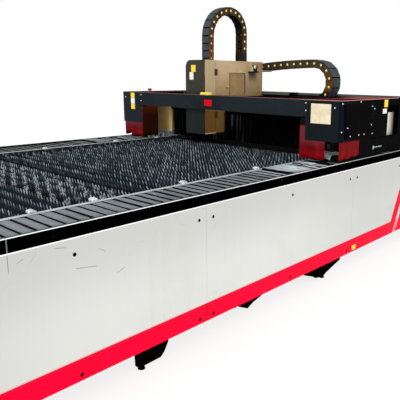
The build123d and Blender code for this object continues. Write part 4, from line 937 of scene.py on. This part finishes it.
def make_skirts():
    bm = bmesh.new()
    flap, hung, last = SIDE_SKIRT_X
    bottom, flap_top, top = SIDE_SKIRT_Z
    hang(bm, (hung, SIDE_SKIRT_Y), (last, SIDE_SKIRT_Y), (bottom, top), waves=2.5, sway=0.004, rise=0.016)
    hang(bm, (flap, SIDE_SKIRT_Y), (hung, SIDE_SKIRT_Y), (bottom, flap_top), waves=0.5, sway=0.002)
    turn_outwards(bm)
    mirrored(bm)
    corner = (SKIRT_FRONT_X, SKIRT_INNER_Y)
    hang(bm, (SKIRT_FRONT_X, SKIRT_OUTER_Y), corner, SKIRT_Z, waves=1.5, sway=0.006)
    hang(bm, corner, (SKIRT_REAR_X, SKIRT_INNER_Y), SKIRT_Z, waves=1.0, sway=0.005)
    inner, step, outer = FAR_SKIRT_Y
    corner = (SKIRT_FRONT_X, inner)
    stepped, full = (FAR_SKIRT_STEP, SKIRT_Z[1]), (FAR_SKIRT_BOTTOM, SKIRT_Z[1])
    hang(bm, (SKIRT_FRONT_X, outer), (SKIRT_FRONT_X, step), stepped, waves=0.5, sway=0.004)
    hang(bm, (SKIRT_FRONT_X, step), corner, full, waves=1.0, sway=0.004)
    hang(bm, corner, (FAR_SKIRT_REAR_X, inner), full, waves=1.0, sway=0.003)
    bmesh.ops.remove_doubles(bm, verts=bm.verts, dist=1e-5)
    turn_outwards(bm)
    bmesh.ops.solidify(bm, geom=bm.faces[:], thickness=SKIRT_SHEET)
    skirts = piece("skirt_sheets", bm, ["red_rubber"], "gantry", ["skirts"])
    skirts.data.shade_smooth()


# Front cover of the head

HEAD_SHEET, HEAD_RIM = 0.003, 0.008
HEAD_ROLL, HEAD_ROLL_STEPS = 0.050, 8
CHAIN_SLOT_X, CHAIN_SLOT_Y = 0.766, (0.246, 0.344)
HAND_SLOT_X = 0.779
HAND_SLOTS_Z = ((1.049, 1.107), (1.424, 1.482))


def is_slot(x, y, z):
    """Where the cover is cut away for the chain in its roof and for the hands in its cheeks."""
    if CHAIN_SLOT_Y[0] < y < CHAIN_SLOT_Y[1]:
        return x > CHAIN_SLOT_X
    return x > HAND_SLOT_X and any(low < z < high for low, high in HAND_SLOTS_Z)


def make_head_cover():
    low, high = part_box("head_front_cover")
    levels = [low.z] + [z for slot in HAND_SLOTS_Z for z in slot]
    bend = arc(HEAD_ROLL, HEAD_ROLL_STEPS, math.pi / 2, -math.pi / 2)
    roll = [(high.y - HEAD_ROLL + y, high.z - HEAD_ROLL + z) for y, z in bend]
    outline = [(low.y, z) for z in levels + [high.z]] + [(y, high.z) for y in CHAIN_SLOT_Y]
    outline += roll + [(high.y, z) for z in reversed(levels)]
    bm = bmesh.new()
    rings = []
    for x in (low.x, CHAIN_SLOT_X, HAND_SLOT_X, high.x):
        rings.append([bm.verts.new((x, y, z)) for y, z in outline])
    for front, back in zip(rings, rings[1:]):
        for index in range(len(outline) - 1):
            corners = (front[index], back[index], back[index + 1], front[index + 1])
            if not is_slot(*(sum((corner.co for corner in corners), Vector()) / 4)):
                bm.faces.new(corners)
    bm.faces.new(rings[0])
    rim = [bm.edges.get(pair) for pair in zip(rings[0], rings[0][1:])]
    round_edges(bm, rim, HEAD_RIM, 3)
    cover = piece("head_cover_sheet", bm, ["head_cover"], "carriage", ["head_front_cover"])
    add_wall(cover, HEAD_SHEET, -1)


# Screws, packing, kick plate and the spindle on the housing's side

HOUSING_FRONT_X, HOUSING_SIDE_Y = 0.560, -1.245
SIDE_COVER_Y = -1.257
FRONT_SCREWS = [(-0.955, 1.238), (-0.956, 1.183), (-1.199, 1.212)]
SIDE_SCREWS = [(0.583, 1.045), (0.583, 1.241), (0.835, 1.248), (1.015, 1.211)]
SIDE_SCREWS += [(1.053, 1.191), (1.012, 1.073), (1.035, 1.005)]
COVER_SCREWS = [(0.645, 1.070), (0.685, 1.009), (0.809, 1.011), (0.886, 1.011)]
FRONT_SCREW, SIDE_SCREW, PANEL_SCREW = 0.0062, 0.0056, 0.009
SCREW_SINK = 0.0005
PANEL_SCREW_X = [-2.234, -1.523, -0.813, -0.711, 0.0, 0.711, 0.813, 1.523, 2.234]
PANEL_SCREW_Z = (0.697, 0.148)
PANEL_SCREW_STAND = 0.0004
PANEL_JOINT_X = (-0.7617, 0.7617)
PACKING_HALF, PACKING_DEPTHS = 0.0014, (0.0005, 0.003)
TRIM_EDGE = 0.0003
KICK_TOP = 0.2235
KICK_PLATE = ((0.790, 0.133), (0.849, 0.169))
SPINDLE_PLACE = (1.050, HOUSING_SIDE_Y - 0.010, 0.896)
SPINDLE_ROD = [(0.0, 0.0), (0.0018, 0.0), (0.0018, 0.128), (0.0032, 0.130), (0.0032, 0.138), (0.0, 0.138)]
SPINDLE_GRIP = [(0.0, -0.015), (0.004, -0.014), (0.005, 0.0), (0.004, 0.014), (0.0, 0.015)]
SPINDLE_CLIPS_X, CLIP_LENGTH, CLIP_DEPTH, CLIP_Z = (1.09, 1.15), 0.008, 0.014, (0.892, 0.900)


def make_screws():
    bm = bmesh.new()
    for y, z in FRONT_SCREWS:
        screw(bm, (HOUSING_FRONT_X, y, z), (-1, 0, 0), FRONT_SCREW)
    for x, z in SIDE_SCREWS:
        screw(bm, (x, HOUSING_SIDE_Y, z), (0, -1, 0), SIDE_SCREW)
    for x, z in COVER_SCREWS:
        screw(bm, (x, SIDE_COVER_Y + SCREW_SINK, z), (0, -1, 0), SIDE_SCREW)
    mirrored(bm)
    piece("housing_screws", bm, ["screw_steel"], "gantry")
    bm = bmesh.new()
    panel_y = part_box("near_side_panels")[0].y
    for z in PANEL_SCREW_Z:
        for x in PANEL_SCREW_X:
            screw(bm, (x, panel_y, z), (0, -1, 0), PANEL_SCREW, PANEL_SCREW_STAND)
    mirrored(bm)
    piece("panel_screws", bm, ["screw_black"], "bed")


def make_side_trim():
    """Packing in the joints of the side panels and a small plain plate on the kick strip."""
    panel_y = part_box("near_side_panels")[0].y
    low, high = KICK_TOP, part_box("near_side_panels")[1].z
    bm = bmesh.new()
    y0, y1 = (panel_y + depth for depth in PACKING_DEPTHS)
    for x in PANEL_JOINT_X:
        slab(bm, (x - PACKING_HALF, y0, low), (x + PACKING_HALF, y1, high), TRIM_EDGE, 1)
    mirrored(bm)
    piece("joint_packing", bm, ["white_paint"], "bed")
    bm = bmesh.new()
    (x0, z0), (x1, z1) = KICK_PLATE
    slab(bm, (x0, panel_y - PANEL_SCREW_STAND, z0), (x1, panel_y + 0.001, z1), TRIM_EDGE, 1)
    piece("kick_plate", bm, ["yellow_plate"], "bed")


def make_spindle():
    """A lock spindle with its cross handle, on the near side of the housing."""
    bm = bmesh.new()
    turned(bm, SPINDLE_ROD, SPINDLE_PLACE, (1, 0, 0), 12)
    turned(bm, SPINDLE_GRIP, SPINDLE_PLACE, (0, 0, 1), 12)
    low, high = CLIP_Z
    for x in SPINDLE_CLIPS_X:
        slab(bm, (x, HOUSING_SIDE_Y - CLIP_DEPTH, low), (x + CLIP_LENGTH, HOUSING_SIDE_Y, high))
    piece("side_spindle", bm, ["screw_steel"], "gantry")


# A stiffener over each window and the ribbed dirt pan under the bed

STIFFENER = ((1.272, 1.236, 1.205), (1.503, 1.2405, 1.2585))
PAN_HALF = (2.240, 1.222)
PAN_Z = (0.1240, 0.1255)
PAN_EDGE, PAN_RIM = 0.0004, 0.012
PAN_RIB_COUNT = 9
PAN_RIB, RIB_HALF, RIB_END = 0.006, 0.02, 0.05
RIB_SINK, RIB_EDGE = 0.0005, 0.003


def make_stiffeners():
    bm = bmesh.new()
    slab(bm, *STIFFENER)
    mirrored(bm)
    piece("window_stiffeners", bm, ["deep_black"], "gantry")


def make_pan():
    bm = bmesh.new()
    half_x, half_y = PAN_HALF
    bottom, top = PAN_Z
    sheet = top - bottom
    slab(bm, (-half_x, -half_y, bottom), (half_x, half_y, top), PAN_EDGE, 1)
    for way in (-1, 1):
        outer, inner = sorted((way * half_x, way * (half_x - sheet)))
        slab(bm, (outer, -half_y, bottom), (inner, half_y, top + PAN_RIM), PAN_EDGE, 1)
        outer, inner = sorted((way * half_y, way * (half_y - sheet)))
        slab(bm, (-half_x, outer, bottom), (half_x, inner, top + PAN_RIM), PAN_EDGE, 1)
    for rib in range(PAN_RIB_COUNT):
        x = half_x * (2 * (rib + 0.5) / PAN_RIB_COUNT - 1)
        low = (x - RIB_HALF, RIB_END - half_y, top - RIB_SINK)
        slab(bm, low, (x + RIB_HALF, half_y - RIB_END, top + PAN_RIB), RIB_EDGE)
    piece("dirt_pan", bm, ["pan_black"], "bed")


# Plain plates, a light plate for the clamp's painted highlight, and the cups in the hand slots: name, two
# ranges, finish, plane, body

PLATE, PLATE_EDGE = 0.0015, 0.0006
FRONT_PLATES = [
    ("rating_plate", (-1.168, -1.001), (1.096, 1.236), "cream_plate", 0.560, "gantry"),
    ("far_plate_upper", (1.057, 1.115), (1.207, 1.253), "yellow_plate", 0.560, "gantry"),
    ("far_plate_middle", (1.057, 1.115), (1.149, 1.205), "white_plate", 0.560, "gantry"),
    ("far_plate_lower", (1.057, 1.115), (1.097, 1.147), "yellow_plate", 0.560, "gantry"),
    ("bar_plate", (0.002, 0.091), (1.171, 1.223), "red_plate", 0.560, "gantry"),
    ("head_plate_upper", (0.300, 0.357), (1.455, 1.514), "yellow_plate", 0.660, "carriage"),
    ("head_plate_lower", (0.328, 0.378), (1.387, 1.453), "white_plate", 0.660, "carriage"),
]
SIDE_PLATES = [
    ("side_plate_upper", (1.212, 1.271), (1.196, 1.253), "yellow_plate", HOUSING_SIDE_Y, "gantry"),
    ("side_plate_lower", (1.193, 1.258), (1.147, 1.184), "white_plate", HOUSING_SIDE_Y, "gantry"),
    # Painted highlight: a light plate stands for the glint on the cable clamp.
    ("clamp_highlight", (1.272, 1.306), (1.495, 1.523), "white_plate", 0.145, "carriage"),
    ("upper_hand_cup", (0.777, 0.825), (1.422, 1.484), "cup_brown", 0.1905, "carriage"),
    ("lower_hand_cup", (0.777, 0.825), (1.047, 1.109), "cup_brown", 0.1905, "carriage"),
]


def add_plate(name, low, high, finish, body):
    bm = bmesh.new()
    slab(bm, low, high, PLATE_EDGE)
    piece(name, bm, [finish], body)


def make_plates():
    for name, (y0, y1), (z0, z1), finish, x, body in FRONT_PLATES:
        add_plate(name, (x - PLATE, y0, z0), (x, y1, z1), finish, body)
    for name, (x0, x1), (z0, z1), finish, y, body in SIDE_PLATES:
        add_plate(name, (x0, y - PLATE, z0), (x1, y, z1), finish, body)


make_slats()
for side in ("near", "far"):
    for place in ("front", "rear"):
        make_rail_cover(side, place)
make_cross_chain()
make_arch_chain()
make_skirts()
make_head_cover()
make_screws()
make_side_trim()
make_spindle()
make_stiffeners()
make_pan()
make_plates()

# Camera, floor and light

CAMERA_PLACE = Vector((-2.590, -3.115, 1.420))
CAMERA_YAW = math.radians(41.21)
CAMERA_PITCH = math.radians(12.42)
CAMERA_ROLL = math.radians(-0.60)
LENS = 46.59
SENSOR = 36.0
SHIFT = (-0.107, -0.024)
FLOOR_HALF = 40
LAMP_COLOUR = (1, 0.98, 0.95)


def place_camera():
    """The camera of the photograph, from its heading, tilt and roll."""
    level = math.cos(CAMERA_PITCH)
    ahead = Vector((math.cos(CAMERA_YAW) * level, math.sin(CAMERA_YAW) * level, -math.sin(CAMERA_PITCH)))
    flat_right = Vector((math.sin(CAMERA_YAW), -math.cos(CAMERA_YAW), 0))
    flat_down = ahead.cross(flat_right)
    right = math.cos(CAMERA_ROLL) * flat_right + math.sin(CAMERA_ROLL) * flat_down
    up = math.sin(CAMERA_ROLL) * flat_right - math.cos(CAMERA_ROLL) * flat_down
    turn = Matrix((right, up, -ahead)).transposed().to_4x4()
    data = bpy.data.cameras.new("camera")
    data.lens = LENS
    data.sensor_width = SENSOR
    data.shift_x, data.shift_y = SHIFT
    data.clip_end = 100
    scene.camera = placed("camera", data)
    scene.camera.matrix_world = Matrix.Translation(CAMERA_PLACE) @ turn


def area_light(name, place, target, size, power):
    """A soft square light that looks at a point."""
    data = bpy.data.lights.new(name, "AREA")
    data.size = size
    data.energy = power
    data.color = LAMP_COLOUR
    lamp = placed(name, data)
    lamp.location = place
    lamp.rotation_euler = (Vector(target) - Vector(place)).to_track_quat("-Z", "Y").to_euler()


def lay_floor():
    bm = bmesh.new()
    bmesh.ops.create_grid(bm, x_segments=1, y_segments=1, size=FLOOR_HALF)
    floor = formed("floor", bm, ["floor_paint"])


def light_studio():
    world = bpy.data.worlds.new("studio")
    world.use_nodes = True
    sky = world.node_tree.nodes["Background"].inputs
    sky["Color"].default_value = (1, 1, 1, 1)
    sky["Strength"].default_value = 1.0
    scene.world = world
    area_light("key", (0.0, -6.0, 5.0), (0.5, -0.5, 0.8), size=3.0, power=40)
    area_light("front", (-4.5, 0.0, 2.6), (0.6, 0.0, 1.2), size=2.0, power=90)


lay_floor()
light_studio()
place_camera()
scene.view_settings.view_transform = "Standard"
